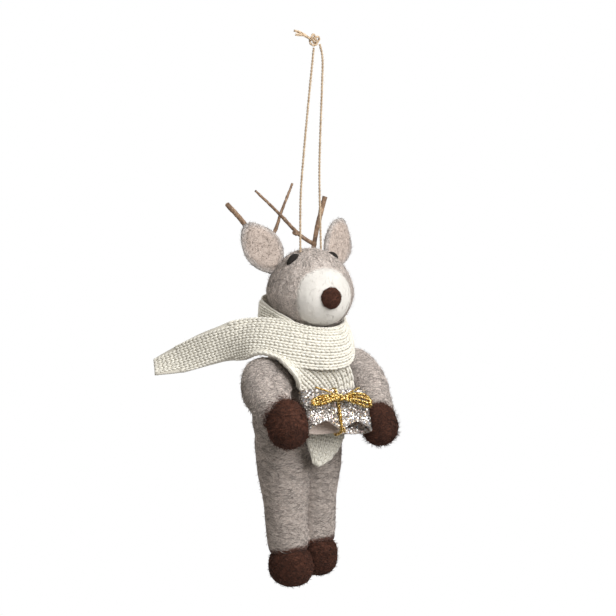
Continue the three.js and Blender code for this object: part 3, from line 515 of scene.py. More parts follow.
# %% [markdown]
# Felt forms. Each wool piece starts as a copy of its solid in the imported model. Its corners are
# merged, a voxel remesh gives it an even skin, Smooth takes the facets off, and Displace swells it
# until it meets its neighbours and then gives it the slight lumps that a felting needle leaves.

# %% Helper for felt forms
def lumps(name, size):
    """A soft noise for Displace, with the size of its lumps in metres."""
    texture = bpy.data.textures.new(name, "CLOUDS")
    texture.noise_scale = size
    texture.noise_depth = 1
    return texture


BROAD_LUMPS, FINE_LUMPS = lumps("broad_lumps", 9 * MM), lumps("fine_lumps", 2.2 * MM)
MESH_LAYERS = ("position", ".edge_verts", ".corner_vert", ".corner_edge", "sharp_face")


def apply_modifier(piece, kind, **settings):
    """Adds a modifier, sets it and applies it, as in the Modifiers tab."""
    modifier = piece.modifiers.new(kind.lower(), kind)
    for key_name, value in settings.items():
        setattr(modifier, key_name, value)
    bpy.ops.object.modifier_apply(modifier=modifier.name)


def felt_skin(name, nodes, finish, voxel, swell, smooth, broad, fine):
    """One felted skin round the solids of one or more nodes. Sizes are in millimetres."""
    copies = [linked(name, frame["nodes"][node].data.copy()) for node in nodes]
    select_only(copies[0])
    if len(copies) > 1:
        for copy in copies:
            copy.select_set(True)
        bpy.ops.object.join()
    piece = bpy.context.object
    bpy.ops.object.mode_set(mode="EDIT")
    bpy.ops.mesh.select_all(action="SELECT")
    bpy.ops.mesh.remove_doubles(threshold=0.02 * MM)
    bpy.ops.object.mode_set(mode="OBJECT")
    apply_modifier(piece, "REMESH", mode="VOXEL", voxel_size=voxel * MM)
    apply_modifier(piece, "SMOOTH", factor=0.5, iterations=smooth)
    apply_modifier(piece, "DISPLACE", strength=swell * MM, mid_level=0)
    apply_modifier(piece, "DISPLACE", texture=BROAD_LUMPS, strength=broad * MM, mid_level=0.5)
    apply_modifier(piece, "DISPLACE", texture=FINE_LUMPS, strength=fine * MM, mid_level=0.5)
    bpy.ops.object.shade_smooth()
    for layer in list(piece.data.attributes):
        if layer.name not in MESH_LAYERS:
            piece.data.attributes.remove(layer)
    point_value(piece, "tint", 0.5)
    dress(piece, finish)
    return piece


def wear(piece, body, node, slot):
    carry(piece, body, slot, node)
    return piece


def felt(name, node, finish, body, slot, voxel, swell, smooth, broad, fine):
    """A felted skin of its own round one solid."""
    return wear(felt_skin(name, [node], finish, voxel, swell, smooth, broad, fine), body, node, slot)


def fill_out(piece, centre, near, far, amount):
    """Swells a piece towards one place, as wool that is wound on thicker there."""
    gap = np.linalg.norm(corners_of(piece) / MM - centre, axis=1)
    weight = np.clip((far - gap) / (far - near), 0, 1)
    group = piece.vertex_groups.new(name="thicker")
    for i in np.flatnonzero(weight):
        group.add([int(i)], float(weight[i]), "REPLACE")
    select_only(piece)
    apply_modifier(piece, "DISPLACE", strength=amount * MM, mid_level=0, vertex_group="thicker")
    piece.vertex_groups.clear()


# %% [markdown]
# A pad of another wool, such as the white muzzle, isn't laid on the head: it is jabbed into it
# until the two are one surface. So one skin goes round both solids. The pad is then a thin shell
# cut from that skin where the second solid lies, and its colour fades in over a millimetre or two.

# %% Helper for felted-in pads
def nearness(piece, node, near, far, seed=1):
    """1 at the piece's corners that lie by the node's solid, and 0 at those far from it."""
    chance = np.random.default_rng(seed)
    solid = frame["nodes"][node].data
    skin = BVHTree.FromPolygons([v.co for v in solid.vertices],
                                [p.vertices[:] for p in solid.polygons])
    gap = np.array([skin.find_nearest(v.co)[3] for v in piece.data.vertices]) / MM
    share = np.clip((far - gap + chance.normal(0, 0.1, len(gap))) / (far - near), 0, 1)
    return share * share * (3 - 2 * share)


def pad_of(name, base, part, thick, rise=0.06):
    """A shell of the base's skin, where the part is above one half. It lies a little above it."""
    piece = linked(name, base.data.copy())
    select_only(piece)
    bpy.ops.object.mode_set(mode="EDIT")
    bpy.ops.mesh.select_all(action="DESELECT")
    bpy.ops.object.mode_set(mode="OBJECT")
    for face in piece.data.polygons:
        face.select = bool(min(part[i] for i in face.vertices) < 0.5)
    bpy.ops.object.mode_set(mode="EDIT")
    bpy.ops.mesh.delete(type="FACE")
    bpy.ops.object.mode_set(mode="OBJECT")
    apply_modifier(piece, "DISPLACE", strength=rise * MM, mid_level=0)
    apply_modifier(piece, "SOLIDIFY", thickness=thick * MM, offset=-1)
    return piece


# %% [markdown]
# Loose fibres make felt look like wool and not like clay. Each fibre is a thin three-sided strand
# that starts at a chance place, follows the way the wool was wound, and hugs the skin, with its
# ends sunk in. A few fly away from the surface and soften the outline.

# %% Helper for fibres
def strand_mesh(name, lines, radius, tint, finish):
    """Three-sided strands along many lines of the same number of points, as one mesh."""
    count, steps = lines.shape[:2]
    ahead = unit(np.gradient(lines, axis=1))
    across = unit(np.cross(ahead, np.array([0.37, 0.21, 0.9])))
    over = np.cross(ahead, across)
    thick = np.sin(np.linspace(0.12, 0.94, steps) * np.pi)[None, :, None, None]
    shape = thick * radius[:, None, None, None]
    angles = np.arange(3) * 2 * np.pi / 3
    ring = np.cos(angles)[:, None] * across[:, :, None] + np.sin(angles)[:, None] * over[:, :, None]
    points = (lines[:, :, None] + ring * shape).reshape(-1, 3)
    first = (np.arange(count)[:, None, None] * steps + np.arange(steps - 1)[None, :, None]) * 3
    k, k2 = np.arange(3), (np.arange(3) + 1) % 3
    faces = np.stack([first + k, first + k2, first + 3 + k2, first + 3 + k], -1).reshape(-1, 4)
    mesh = bpy.data.meshes.new(name)
    mesh.vertices.add(len(points))
    mesh.vertices.foreach_set("co", points.astype(np.float32).ravel())
    mesh.loops.add(faces.size)
    mesh.loops.foreach_set("vertex_index", faces.ravel().astype(np.int32))
    mesh.polygons.add(len(faces))
    mesh.polygons.foreach_set("loop_start", np.arange(0, faces.size, 4, dtype=np.int32))
    mesh.update(calc_edges=True)
    mesh.shade_smooth()
    piece = linked(name, mesh)
    point_value(piece, "tint", np.repeat(tint, steps * 3))
    dress(piece, finish)
    return piece


def skin_points(piece, count, chance):
    """Chance places on a piece's skin, with the way the skin faces there."""
    mesh = piece.data
    mesh.calc_loop_triangles()
    corners = np.zeros(len(mesh.loop_triangles) * 3, np.int32)
    mesh.loop_triangles.foreach_get("vertices", corners)
    places = np.zeros(len(mesh.vertices) * 3, np.float32)
    mesh.vertices.foreach_get("co", places)
    triangle = places.reshape(-1, 3)[corners.reshape(-1, 3)].astype(float)
    normal = np.cross(triangle[:, 1] - triangle[:, 0], triangle[:, 2] - triangle[:, 0])
    area = np.linalg.norm(normal, axis=1)
    pick = chance.choice(len(area), count, p=area / area.sum())
    u, v = chance.random((2, count))
    flip = u + v > 1
    u[flip], v[flip] = 1 - u[flip], 1 - v[flip]
    first, second, third = triangle[pick].swapaxes(0, 1)
    place = first + u[:, None] * (second - first) + v[:, None] * (third - first)
    return place, unit(normal[pick])


SHOULDER = np.array([0, 2.5, -115.7]) * MM  # a point of the line that the arms turn about


def skin_of(piece, turn=0.0):
    """A tree for nearest-point questions, with the piece turned as the arms turn."""
    corners = corners_of(piece) - SHOULDER
    c, s = math.cos(-turn), math.sin(-turn)
    x, y, z = corners.T
    corners = np.c_[x, c * y - s * z, s * y + c * z] + SHOULDER
    return BVHTree.FromPolygons(corners.tolist(), [p.vertices[:] for p in piece.data.polygons])


def fibres(piece, finish, body, count, length, radius, grain, spread, seed, fly, lift=1.0,
           wander=0.32, share=None, calm=0.0, keep=None, name=None):
    """Lays fibres on a felt piece, with their length and radius in millimetres.

    The grain gives the way of the wool from a place and its normal, and spread and wander how far
    a fibre turns from it. Fly is the part of the fibres that stand up, by up to lift. The share
    says how much of the second wool shows, calm how even that wool is, and keep which places
    have fibres.
    """
    chance = np.random.default_rng(seed)
    skin = skin_of(piece)
    starts, normals = skin_points(piece, count, chance)
    if keep is not None:
        kept = keep(starts)
        starts, normals = starts[kept], normals[kept]
    lines, begun, steps = [], [], 5
    stand = 1.6 * radius
    for start, normal in zip(starts, normals):
        covered = skin.ray_cast(Vector(start + normal * 0.1 * MM), Vector(normal), 2.5 * MM)[0]
        if covered is not None:
            continue
        flying = chance.random() < fly
        way = unit(np.asarray(grain(start, normal), float))
        angle = chance.normal(0, spread)
        way = np.cos(angle) * way + np.sin(angle) * np.cross(normal, way)
        step = length * chance.uniform(0.5, 1.3) * MM / (steps - 1) * (0.6 if flying else 1)
        rise_most = lift * chance.uniform(0.2, 1.2)
        line, here, up = [], start, normal
        for k in range(steps):
            rise = 0.02 + stand * math.sin(math.pi * k / (steps - 1))
            if flying:
                rise += rise_most * (k / (steps - 1)) ** 2
            line.append(here + up * rise * MM)
            angle = chance.normal(0, wander)
            way = way - up * way.dot(up)
            way = unit(np.cos(angle) * way + np.sin(angle) * np.cross(up, way))
            near, facing, _, _ = skin.find_nearest(Vector(here + way * step))
            here, up = np.array(near), np.array(facing)
        lines.append(line)
        begun.append(start)
    lines, begun = np.array(lines), np.array(begun)
    values = np.zeros(len(lines))
    if share is not None:
        values = share(begun + chance.normal(0, 0.45 * MM, begun.shape))
        seen = chance.random(len(lines)) > 0.94 * calm * values
        lines, values = lines[seen], values[seen]
    girth = radius * MM * chance.uniform(0.5, 1.15, len(lines))
    tints = 0.5 + (chance.beta(0.7, 0.7, len(lines)) - 0.5) * (1 - calm * values)
    made = strand_mesh(name or f"{piece.name}_fibres", lines, girth, tints, finish)
    point_value(made, "share", np.repeat(values, steps * 3))
    if body:
        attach(made, body)
    return made


def share_at(piece):
    """The second wool's share at places near a piece's skin."""
    values = np.zeros(len(piece.data.vertices), np.float32)
    piece.data.attributes["share"].data.foreach_get("value", values)
    return value_near(piece, values)


def value_near(piece, values):
    """A function that gives the value of the piece's corner nearest to each place."""
    tree = KDTree(len(values))
    for i, corner in enumerate(piece.data.vertices):
        tree.insert(corner.co, i)
    tree.balance()
    return lambda places: np.array([values[tree.find(place)[1]] for place in places])


# %% [markdown]
# The head is a ball of grey wool with a pad of white wool for the muzzle, so one skin goes round
# both. The nose is a small ball. The eyes are pinches of dark wool, drawn out a little to a point,
# as a few jabs of the needle leave them.

# %% Head, muzzle, nose and eyes
def standing(place, normal):
    """Wool brushed up and down."""
    return np.cross(normal, np.cross((0, 0, 1), normal)) + 1e-6


def any_way(place, normal):
    """Wool with no one way."""
    return np.cross(normal, (0.4 + place[0] * 100, 0.7, 0.3 + place[2] * 60))


def draw_out(piece, way):
    """Makes a piece longer one way, by up to the given millimetres, as a pinch of wool is."""
    corners = corners_of(piece)
    along = (corners - corners.mean(0)) @ unit(np.array(way, float))
    share = np.clip(along / along.max(), 0, 1)[:, None]
    moved = corners + share * np.array(way) * MM
    piece.data.vertices.foreach_set("co", moved.astype(np.float32).ravel())
    piece.data.update()


head = felt_skin("felt_head", ["head", "muzzle"], HEAD_WOOL, voxel=0.5, swell=0.3, smooth=18,
                 broad=0.35, fine=0.12)
white_part = nearness(head, "muzzle", near=0.5, far=1.45, seed=9)
point_value(head, "share", white_part)
muzzle = pad_of("felt_muzzle", head, white_part, thick=1.2)
wear(head, "figure", "head", "grey_wool")
wear(muzzle, "figure", "muzzle", "white_wool")
nose = felt("felt_nose", "nose", BROWN_WOOL, "figure", "brown_wool", voxel=0.3, swell=0.3, smooth=4,
            broad=0.6, fine=0.4)
for side, drawn in (("right", (-0.9, 0.0, -0.9)), ("left", (-1.2, -1.2, -1.0))):
    eye = felt_skin(f"felt_eye_{side}", [f"eye_{side}"], DARK_WOOL, voxel=0.2, swell=0.45, smooth=3,
                    broad=0.05, fine=0.08)
    draw_out(eye, drawn)
    wear(eye, "figure", f"eye_{side}", "dark_wool")
fibres(head, HEAD_WOOL, "figure", count=7600, length=2.5, radius=0.08, grain=standing,
       spread=0.45, seed=11, fly=0.12, share=share_at(head), calm=0.96)
fibres(nose, BROWN_WOOL, "figure", count=700, length=1.8, radius=0.07, grain=any_way,
       spread=1.2, seed=13, fly=0.4, lift=0.5)
print("head made,", len(head.data.polygons), "faces")

# %% [markdown]
# Torso and legs are felted into one another, so one skin goes round the three solids, and each leg
# is a shell of it. Near the feet the brown wool is worked up into the grey. Their grey is the head's
# grey painted darker, as painted shade for the less lit lower body.

# %% Torso, legs and feet
def wound(place, normal):
    """Wool wound round an upright limb."""
    return np.cross((0, 0, 1), normal)


def middle_of(node):
    """The middle of a node's box, in millimetres."""
    low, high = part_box(node)
    return (np.array(low) + np.array(high)) / 2 / MM


# the darker body wool is painted shade
torso = felt_skin("felt_torso", ["torso", "leg_right", "leg_left"], BODY_WOOL_PAINTED_SHADE, voxel=0.5, swell=0.35,
                  smooth=10, broad=0.4, fine=0.15)
for side in ("right", "left"):
    fill_out(torso, middle_of(f"foot_{side}"), near=8, far=15, amount=0.35)
point_value(torso, "share", np.maximum(nearness(torso, "foot_right", near=1.6, far=2.8, seed=3),
                                       nearness(torso, "foot_left", near=1.6, far=2.8, seed=4)))
wear(torso, "figure", "torso", "grey_wool")
belongs = np.zeros(len(torso.data.vertices))
for k, side in enumerate(("right", "left"), 1):
    part = nearness(torso, f"leg_{side}", near=0.5, far=1.5)
    wear(pad_of(f"felt_leg_{side}", torso, part, thick=1.2), "figure", f"leg_{side}", "grey_wool")
    belongs[part > 0.5] = k
whose = value_near(torso, belongs)
for k, name in enumerate(("torso", "leg_right", "leg_left")):
    fibres(torso, BODY_WOOL_PAINTED_SHADE, "figure", count=16800, length=3.6, radius=0.095, grain=wound,
           spread=0.35, seed=21 + k, fly=0.08, wander=0.22, share=share_at(torso),
           keep=lambda places, k=k: whose(places) == k, name=f"felt_{name}_fibres")
for side, seed in (("right", 32), ("left", 42)):
    foot = felt(f"felt_foot_{side}", f"foot_{side}", BROWN_WOOL, "figure", "brown_wool", voxel=0.5,
                swell=0.35, smooth=8, broad=0.5, fine=0.2)
    fibres(foot, BROWN_WOOL, "figure", count=2600, length=3.0, radius=0.1, grain=wound,
           spread=0.6, seed=seed, fly=0.2, lift=1.1)
print("body made,", len(torso.data.polygons), "faces")

# %% [markdown]
# Each arm is grey wool wound round a wire, with a ball of brown wool for the hand. The winding is
# thicker towards the hand, and on the right arm in the crook of the elbow too. The brown is worked
# into the grey at the wrist, so the colour fades there as on the legs.

# %% Arms and hands
def arm_grain(place, normal):
    """Wool wound round an arm that runs down and forward."""
    return np.cross((0, -0.75, -0.66), normal)


INNER_ELBOW = np.array([-16.5, -7.5, -50]) + CROWN
for side, seed in (("right", 51), ("left", 61)):
    arm = felt_skin(f"felt_arm_{side}", [f"arm_{side}"], ARM_WOOL, voxel=0.6, swell=0.3, smooth=10,
                    broad=0.4, fine=0.15)
    fill_out(arm, middle_of(f"hand_{side}"), near=7, far=14, amount=0.5)
    if side == "right":
        fill_out(arm, INNER_ELBOW, near=3, far=9.5, amount=2.8)
    point_value(arm, "share", nearness(arm, f"hand_{side}", near=0.5, far=1.8, seed=seed))
    wear(arm, "arms", f"arm_{side}", "grey_wool")
    hand = felt(f"felt_hand_{side}", f"hand_{side}", BROWN_WOOL, "arms", "brown_wool", voxel=0.5,
                swell=0.3, smooth=8, broad=0.5, fine=0.2)
    fibres(arm, ARM_WOOL, "arms", count=6200, length=3.4, radius=0.095, grain=arm_grain,
           spread=0.4, seed=seed, fly=0.12, wander=0.25, share=share_at(arm))
    fibres(hand, BROWN_WOOL, "arms", count=2600, length=3.2, radius=0.1, grain=arm_grain,
           spread=0.6, seed=seed + 1, fly=0.35, lift=1.5)
    print("arm", side, "made,", len(arm.data.polygons), "faces")

# %% [markdown]
# An ear is a leaf of grey wool, pinched into a cup, with a thin pad of beige wool felted into the
# cup. It is made as the muzzle is: one skin round both, and the lining as a shell of that skin.

# %% Ears and their linings
for side, seed in (("right", 71), ("left", 81)):
    ear = felt_skin(f"felt_ear_{side}", [f"ear_{side}", f"ear_lining_{side}"], EAR_WOOL, voxel=0.4,
                    swell=0.3, smooth=26, broad=0.3, fine=0.12)
    inner_part = nearness(ear, f"ear_lining_{side}", near=0.1, far=2.9, seed=seed)
    point_value(ear, "share", inner_part)
    lining = pad_of(f"felt_ear_lining_{side}", ear, inner_part, thick=0.7)
    wear(ear, "figure", f"ear_{side}", "grey_wool")
    wear(lining, "figure", f"ear_lining_{side}", "beige_wool")
    fibres(ear, EAR_WOOL, "figure", count=2600, length=2.4, radius=0.07, grain=standing,
           spread=0.9, seed=seed, fly=0.25, lift=0.9, share=share_at(ear), calm=0.6)
    print("ear", side, "made,", len(ear.data.polygons), "faces")

# %% [markdown]
# The antlers are natural twigs. Their bark is brown, streaked along the twig and flecked with pale
# spots, and the snipped ends show pale wood. So there are two finishes, both from noise.

# %% Twig finishes
def bark_finish():
    finish, tree, shader = start_finish("twig_bark", roughness=0.8)
    grain = add_noise(tree, 700, detail=5, stretch=(1, 1, 0.5), distortion=1.0)
    colour = add_ramp(tree, grain, [(0.25, (0.07, 0.042, 0.027)), (0.5, (0.235, 0.145, 0.09)),
                                    (0.75, (0.46, 0.31, 0.20))])
    flecks = add_ramp(tree, add_noise(tree, 1900, detail=2), [(0.62, grey(0)), (0.72, grey(1))])
    pale = add_ramp(tree, grain, [(0, (0.45, 0.38, 0.31)), (1, (0.6, 0.52, 0.43))])
    tree.links.new(add_mix(tree, colour, pale, "MIX", flecks), shader.inputs["Base Color"])
    add_bump(tree, shader, grain, strength=0.8, depth=0.25 * MM)
    return finish


def cut_wood_finish():
    finish, tree, shader = start_finish("cut_wood", roughness=0.75)
    rings = add_ramp(tree, add_noise(tree, 2200, detail=3),
                     [(0.3, (0.42, 0.32, 0.22)), (0.7, (0.62, 0.5, 0.36))])
    tree.links.new(rings, shader.inputs["Base Color"])
    return finish


BARK, CUT_WOOD = bark_finish(), cut_wood_finish()
print("twig finishes ready")

# %% [markdown]
# Each antler is a thick beam with a thinner tine. A tapering tube follows each twig's line and
# swells at a few buds, Displace roughens it, and the faces that close its ends take the finish of
# cut wood.

# %% Antler twigs
TWIG_POINTS = 70
TWIG_ROUGH = lumps("twig_rough", 1.4 * MM)
TWIGS = {
    # points from the crown, then the thickness at the seat and at the tip
    "antler_beam_right": ([[-6.5, 8.5, -11.5], [-9.4, 16.2, -3.4], [-18, 17.5, 8.5],
                           [-26.2, 17, 16.1]], 1.9, 1.9),
    "antler_tine_right": ([[-9.9, 16.4, -2.6], [-4, 17, 5.1], [-0.8, 17.8, 11.6],
                           [5.5, 19.5, 22]], 1.5, 0.9),
    "antler_beam_left": ([[6.8, 8.5, -11.5], [10.7, 12, -0.4], [13.5, 13, 8.4],
                          [16.9, 14, 16.9]], 1.6, 2.0),
    "antler_tine_left": ([[10.3, 12, -0.3], [3.7, 12.5, 3.8], [-6.8, 12, 12.7],
                          [-16.6, 12.9, 21.1]], 1.6, 0.9),
}
SPUR = ([[3.9, 12.3, 3.7], [1.6, 11.2, 4.2], [-0.4, 10.2, 4.9]], 1.0, 1.5)


def twig(name, route, seat, tip, seed):
    """One twig from its seat to its snipped tip, swollen at three buds."""
    chance = np.random.default_rng(seed)
    line = smooth_line(np.array(route) + CROWN, TWIG_POINTS) * MM
    along = np.linspace(0, 1, TWIG_POINTS)
    girth = np.interp(along, [0, 1], [seat, tip]) / 2
    for bud in chance.uniform(0.1, 0.95, 3):
        girth = girth * (1 + 0.16 * np.exp(-((along - bud) / 0.02) ** 2))
    piece = tubes(name, [line], 2 * MM, BARK, taper=(along, girth), sides=3, seed=seed)
    apply_modifier(piece, "DISPLACE", texture=TWIG_ROUGH, strength=0.3 * MM, mid_level=0.5)
    piece.data.materials.append(CUT_WOOD)
    for face in piece.data.polygons:
        if len(face.vertices) > 4:
            face.material_index = 1
    return piece


for k, (node, (route, seat, tip)) in enumerate(TWIGS.items()):
    name = node.replace("antler", "twig")
    carry(twig(name, route, seat, tip, seed=90 + k), "figure", "twig_bark", node)
carry(twig("twig_spur", *SPUR, seed=99), "figure", "twig_bark")
print("antlers made,", len(TWIGS), "twigs and a spur")

# %% [markdown]
# The scarf is one strip in knitted rib. From its flung tip it comes over the right shoulder, goes
# across the chest and up round the back of the neck, comes forward under itself, and hangs down
# behind the parcel. A list of posts gives the middle of the strip, the way its width runs, its
# share of the full width and its bulge. A grid over those posts is moved off the wool that it
# would cut into, in every place that the arms can take.

# %% Scarf strip
SCARF_WIDE, SCARF_STATIONS = 17.5, 520
ACROSS = np.linspace(-1, 1, 33)
WOOL_GAP, LEAST_GAP = 1.4, 1.2
ARM_ANGLES = (-4, 4, 11, 18)
SCARF_POSTS = np.array([
    # middle from the crown, way of the width, width, bulge
    [-46.2, 33.6, -45.4, -0.42, -0.72, -0.55, 0.46, -0.4],
    [-38.8, 26.4, -41.6, -0.05, -0.50, -0.86, 0.60, -0.1],
    [-32.8, 19.0, -37.4, 0.15, -0.34, -0.92, 0.70, 0.3],
    [-29.0, 14.2, -35.0, -0.05, 0.02, -1.0, 0.75, 0.5],
    [-25.6, 8.6, -33.0, -0.25, 0.04, -1.0, 0.86, 0.8],
    [-21.8, 0.4, -31.6, -0.54, -0.11, -1.0, 0.93, 1.0],
    [-14.2, -8.8, -32.6, -0.29, -0.28, -1.0, 0.97, 1.3],
    [-3.5, -14.6, -34.0, -0.04, -0.25, -1.0, 0.95, 1.4],
    [6.0, -13.0, -33.8, 0.10, -0.28, -1.0, 0.90, 1.2],
    [12.8, -5.6, -30.5, 0.31, -0.25, -1.0, 0.75, 1.0],
    [14.8, 3.6, -27.4, 0.35, -0.03, -1.0, 0.66, 0.8],
    [11.6, 13.0, -26.0, 0.08, 0.06, -1.0, 0.76, 0.6],
    [2.5, 18.4, -25.8, 0, 0, -1.0, 0.80, 0.5],
    [-8.0, 16.8, -25.8, 0, 0, -1.0, 0.80, 0.5],
    [-14.4, 9.6, -26.4, 0, 0, -1.0, 0.78, 0.6],
    [-15.2, 0.0, -27.6, -0.1, -0.03, -1.0, 0.72, 0.6],
    [-14.8, -6.0, -32.0, -0.60, 0.04, -0.80, 0.90, 0.5],
    [-12.0, -11.0, -36.6, -0.86, 0.06, -0.52, 1.16, 0.4],
    [-7.4, -13.0, -40.8, -0.84, 0.10, -0.54, 1.20, 0.4],
    [-2.4, -13.2, -45.4, -0.82, 0.14, -0.52, 1.18, 0.4],
    [1.8, -11.9, -51.0, -0.92, 0.12, -0.30, 1.12, 0.4],
    [1.6, -11.2, -60.0, -1.0, 0.06, -0.05, 1.06, 0.5],
    [-0.6, -11.4, -69.0, -1.0, 0, 0.1, 0.98, 0.4],
    [-2.6, -11.8, -74.6, -1.0, 0, 0.2, 0.66, 0.3],
    [-5.0, -12.0, -79.0, -1.0, 0, 0.3, 0.14, 0.1],
])

stations = smooth_line(SCARF_POSTS, SCARF_STATIONS)
middle = (stations[:, :3] + CROWN) * MM
scarf_long = np.linalg.norm(np.diff(middle, axis=0), axis=1).sum()
ahead = unit(np.gradient(middle, axis=0))
width_way = stations[:, 3:6] - ahead * np.sum(ahead * stations[:, 3:6], axis=1, keepdims=True)
width_way = unit(width_way)
face_way = np.cross(width_way, ahead)
half = stations[:, 6] * SCARF_WIDE / 2 * MM
bulge = stations[:, 7] * MM
strip = (middle[:, None] + width_way[:, None] * (half[:, None] * ACROSS)[..., None]
         + face_way[:, None] * (bulge[:, None] * (1 - ACROSS ** 2))[..., None])


def clear_of(points, skins, gap):
    """The points, moved out of the pieces that they lie in or touch."""
    flat = points.reshape(-1, 3).copy()
    for skin in skins:
        for i, place in enumerate(flat):
            near, facing, _, _ = skin.find_nearest(Vector(place), 9 * MM)
            if near is not None:
                depth = gap - (Vector(place) - near).dot(facing)
                if depth > 0:
                    flat[i] = place + np.array(facing) * depth
    return flat.reshape(points.shape)


def evened(moves, rounds):
    """A field of moves over the strip, averaged with its neighbours."""
    for _ in range(rounds):
        wide = np.pad(moves, ((1, 1), (1, 1), (0, 0)), "edge")
        moves = (wide[:-2, 1:-1] + wide[2:, 1:-1] + wide[1:-1, :-2] + wide[1:-1, 2:] + 2 * moves) / 6
    return moves


scarf_skins = [skin_of(piece) for piece in (head, muzzle, torso)]
scarf_skins += [skin_of(bpy.data.objects[f"felt_arm_{side}"], math.radians(angle))
                for side in ("right", "left") for angle in ARM_ANGLES]
laid = strip
for rounds in (14, 6, 2):
    laid = strip + evened(clear_of(laid, scarf_skins, WOOL_GAP * MM) - strip, rounds)
laid = clear_of(laid, scarf_skins, LEAST_GAP * MM)
facing = unit(np.cross(np.gradient(laid, axis=1), np.gradient(laid, axis=0)))
print("scarf", round(scarf_long, 4), "m long, moved up to", round(np.abs(laid - strip).max(), 4))

# %% [markdown]
# The scarf's yarn is soft cream wool. Fine noise stands for its twist, and each stitch has a tint
# of its own. The ground between the stitches is the same yarn painted darker, as painted shade at
# the bottom of the grooves.

# %% Knit finish
def knit_finish(name, dark, light):
    finish, tree, shader = start_finish(name, roughness=0.9, sheen=0.2)
    twist = add_noise(tree, 1700, detail=4, distortion=0.8)
    colour = add_ramp(tree, twist, [(0.3, dark), (0.7, light)])
    tints = add_ramp(tree, add_point_value(tree, "tint"), [(0, grey(0.86)), (1, grey(1.1))])
    tree.links.new(add_mix(tree, colour, tints, "MULTIPLY", 1.0), shader.inputs["Base Color"])
    add_bump(tree, shader, twist, strength=0.5, depth=0.15 * MM)
    return finish


CREAM_KNIT = knit_finish("cream_knit", (0.74, 0.71, 0.625), (0.89, 0.865, 0.785))
# the ground's darker cream is painted shade between the stitches
CREAM_GROUND_PAINTED_SHADE = knit_finish("cream_knit_ground_painted_shade", (0.58, 0.55, 0.475), (0.72, 0.69, 0.61))

print("knit finishes ready")

# %% [markdown]
# A thin ground lies under the stitches: it is the sheet itself, and closes the view between them.
# Its darker cream is painted shade.
# A grid of faces over the strip makes it, and Solidify gives it its thickness.

# %% Scarf ground
def grid_piece(name, grid, finish):
    """One sheet of faces through a grid of places."""
    rows, columns = grid.shape[:2]
    first = (np.arange(rows - 1)[:, None] * columns + np.arange(columns - 1)).ravel()
    mesh = bpy.data.meshes.new(name)
    mesh.from_pydata(grid.reshape(-1, 3).tolist(), [],
                     np.stack([first, first + 1, first + columns + 1, first + columns], 1).tolist())
    piece = linked(name, mesh)
    point_value(piece, "tint", 0.5)
    dress(piece, finish)
    select_only(piece)
    bpy.ops.object.shade_smooth()
    return piece


# the darker ground is painted shade between the stitches
ground = grid_piece("scarf_ground", laid[::2, ::2], CREAM_GROUND_PAINTED_SHADE)
apply_modifier(ground, "SOLIDIFY", thickness=0.6 * MM, offset=0)
print("scarf ground", len(ground.data.polygons), "faces")

# %% [markdown]
# Knitted rib is columns of V stitches with deep grooves between them. One leg of a V is a small
# sphere, and each copy of it is bent onto the strip: along a row, across to its side of the
# column, and up from the cloth. Where the strip is drawn in, the outer columns are left off, so
# that the others keep their size.

# %% Scarf stitches
WALES, ROW = 8, 1.6  # columns, and the height of a row
FULL_SHARE = 0.86  # share of the width at which all the columns fit

bpy.ops.object.select_all(action="DESELECT")
bpy.ops.mesh.primitive_uv_sphere_add(segments=6, ring_count=5, radius=1)
pattern = bpy.context.object
leg_points = corners_of(pattern)
leg_faces = [list(p.vertices) for p in pattern.data.polygons]
bpy.ops.object.delete()


def on_strip(grid, row, column):
    """Places between the points of a grid."""
    row = np.clip(row, 0, grid.shape[0] - 1.001)
    column = np.clip(column, 0, grid.shape[1] - 1.001)
    i, j = row.astype(int), column.astype(int)
    a, b = (row - i)[..., None], (column - j)[..., None]
    return ((grid[i, j] * (1 - b) + grid[i, j + 1] * b) * (1 - a)
            + (grid[i + 1, j] * (1 - b) + grid[i + 1, j + 1] * b) * a)


def stitches(name, side, seed):
    """All the V stitches of one face of the scarf, as one mesh."""
    chance = np.random.default_rng(seed)
    rows = int(scarf_long / (ROW * MM))
    row, wale, leg = np.meshgrid(np.arange(rows), np.arange(WALES), (-1, 1), indexing="ij")
    row, wale, leg = row.ravel(), wale.ravel(), leg.ravel()
    reach = np.interp((row + 0.5) * ROW * MM, np.linspace(0, scarf_long, len(half)), half)
    pitch = np.maximum(1, FULL_SHARE * SCARF_WIDE / 2 * MM / reach)
    column = WALES / 2 + (wale + 0.5 - WALES / 2) * pitch
    whole = (column > 0.3) & (column < WALES - 0.3)
    row, column, leg, pitch = row[whole], column[whole], leg[whole], pitch[whole, None]
    count = len(row)
    along, over, height = leg_points[:, 2], leg_points[:, 0], leg_points[:, 1]
    rise = (along + 1) / 2
    run = (row + 0.5 + chance.normal(0, 0.04, count))[:, None] + along * 0.68
    aside = leg[:, None] * (0.13 + 0.2 * rise) + over * 0.25
    place = (column + chance.normal(0, 0.015, count))[:, None] + pitch * aside
    up = 0.32 + 0.26 * np.sin(np.pi * rise) + height * 0.42 + np.zeros((count, 1))
    grid_row = run * ROW * MM / scarf_long * (len(laid) - 1)
    grid_column = place / WALES * (len(ACROSS) - 1)
    points = (on_strip(laid, grid_row, grid_column)
              + side * MM * up[..., None] * on_strip(facing, grid_row, grid_column))
    faces = [[k + len(leg_points) * i for k in face] for i in range(count) for face in leg_faces]
    mesh = bpy.data.meshes.new(name)
    mesh.from_pydata(points.reshape(-1, 3).tolist(), [], faces)
    mesh.shade_smooth()
    piece = linked(name, mesh)
    point_value(piece, "tint", np.repeat(chance.uniform(0.2, 0.8, count), len(leg_points)))
    dress(piece, CREAM_KNIT)
    select_only(piece)
    bpy.ops.object.mode_set(mode="EDIT")
    bpy.ops.mesh.select_all(action="SELECT")
    bpy.ops.mesh.normals_make_consistent(inside=False)
    bpy.ops.object.mode_set(mode="OBJECT")
    return piece


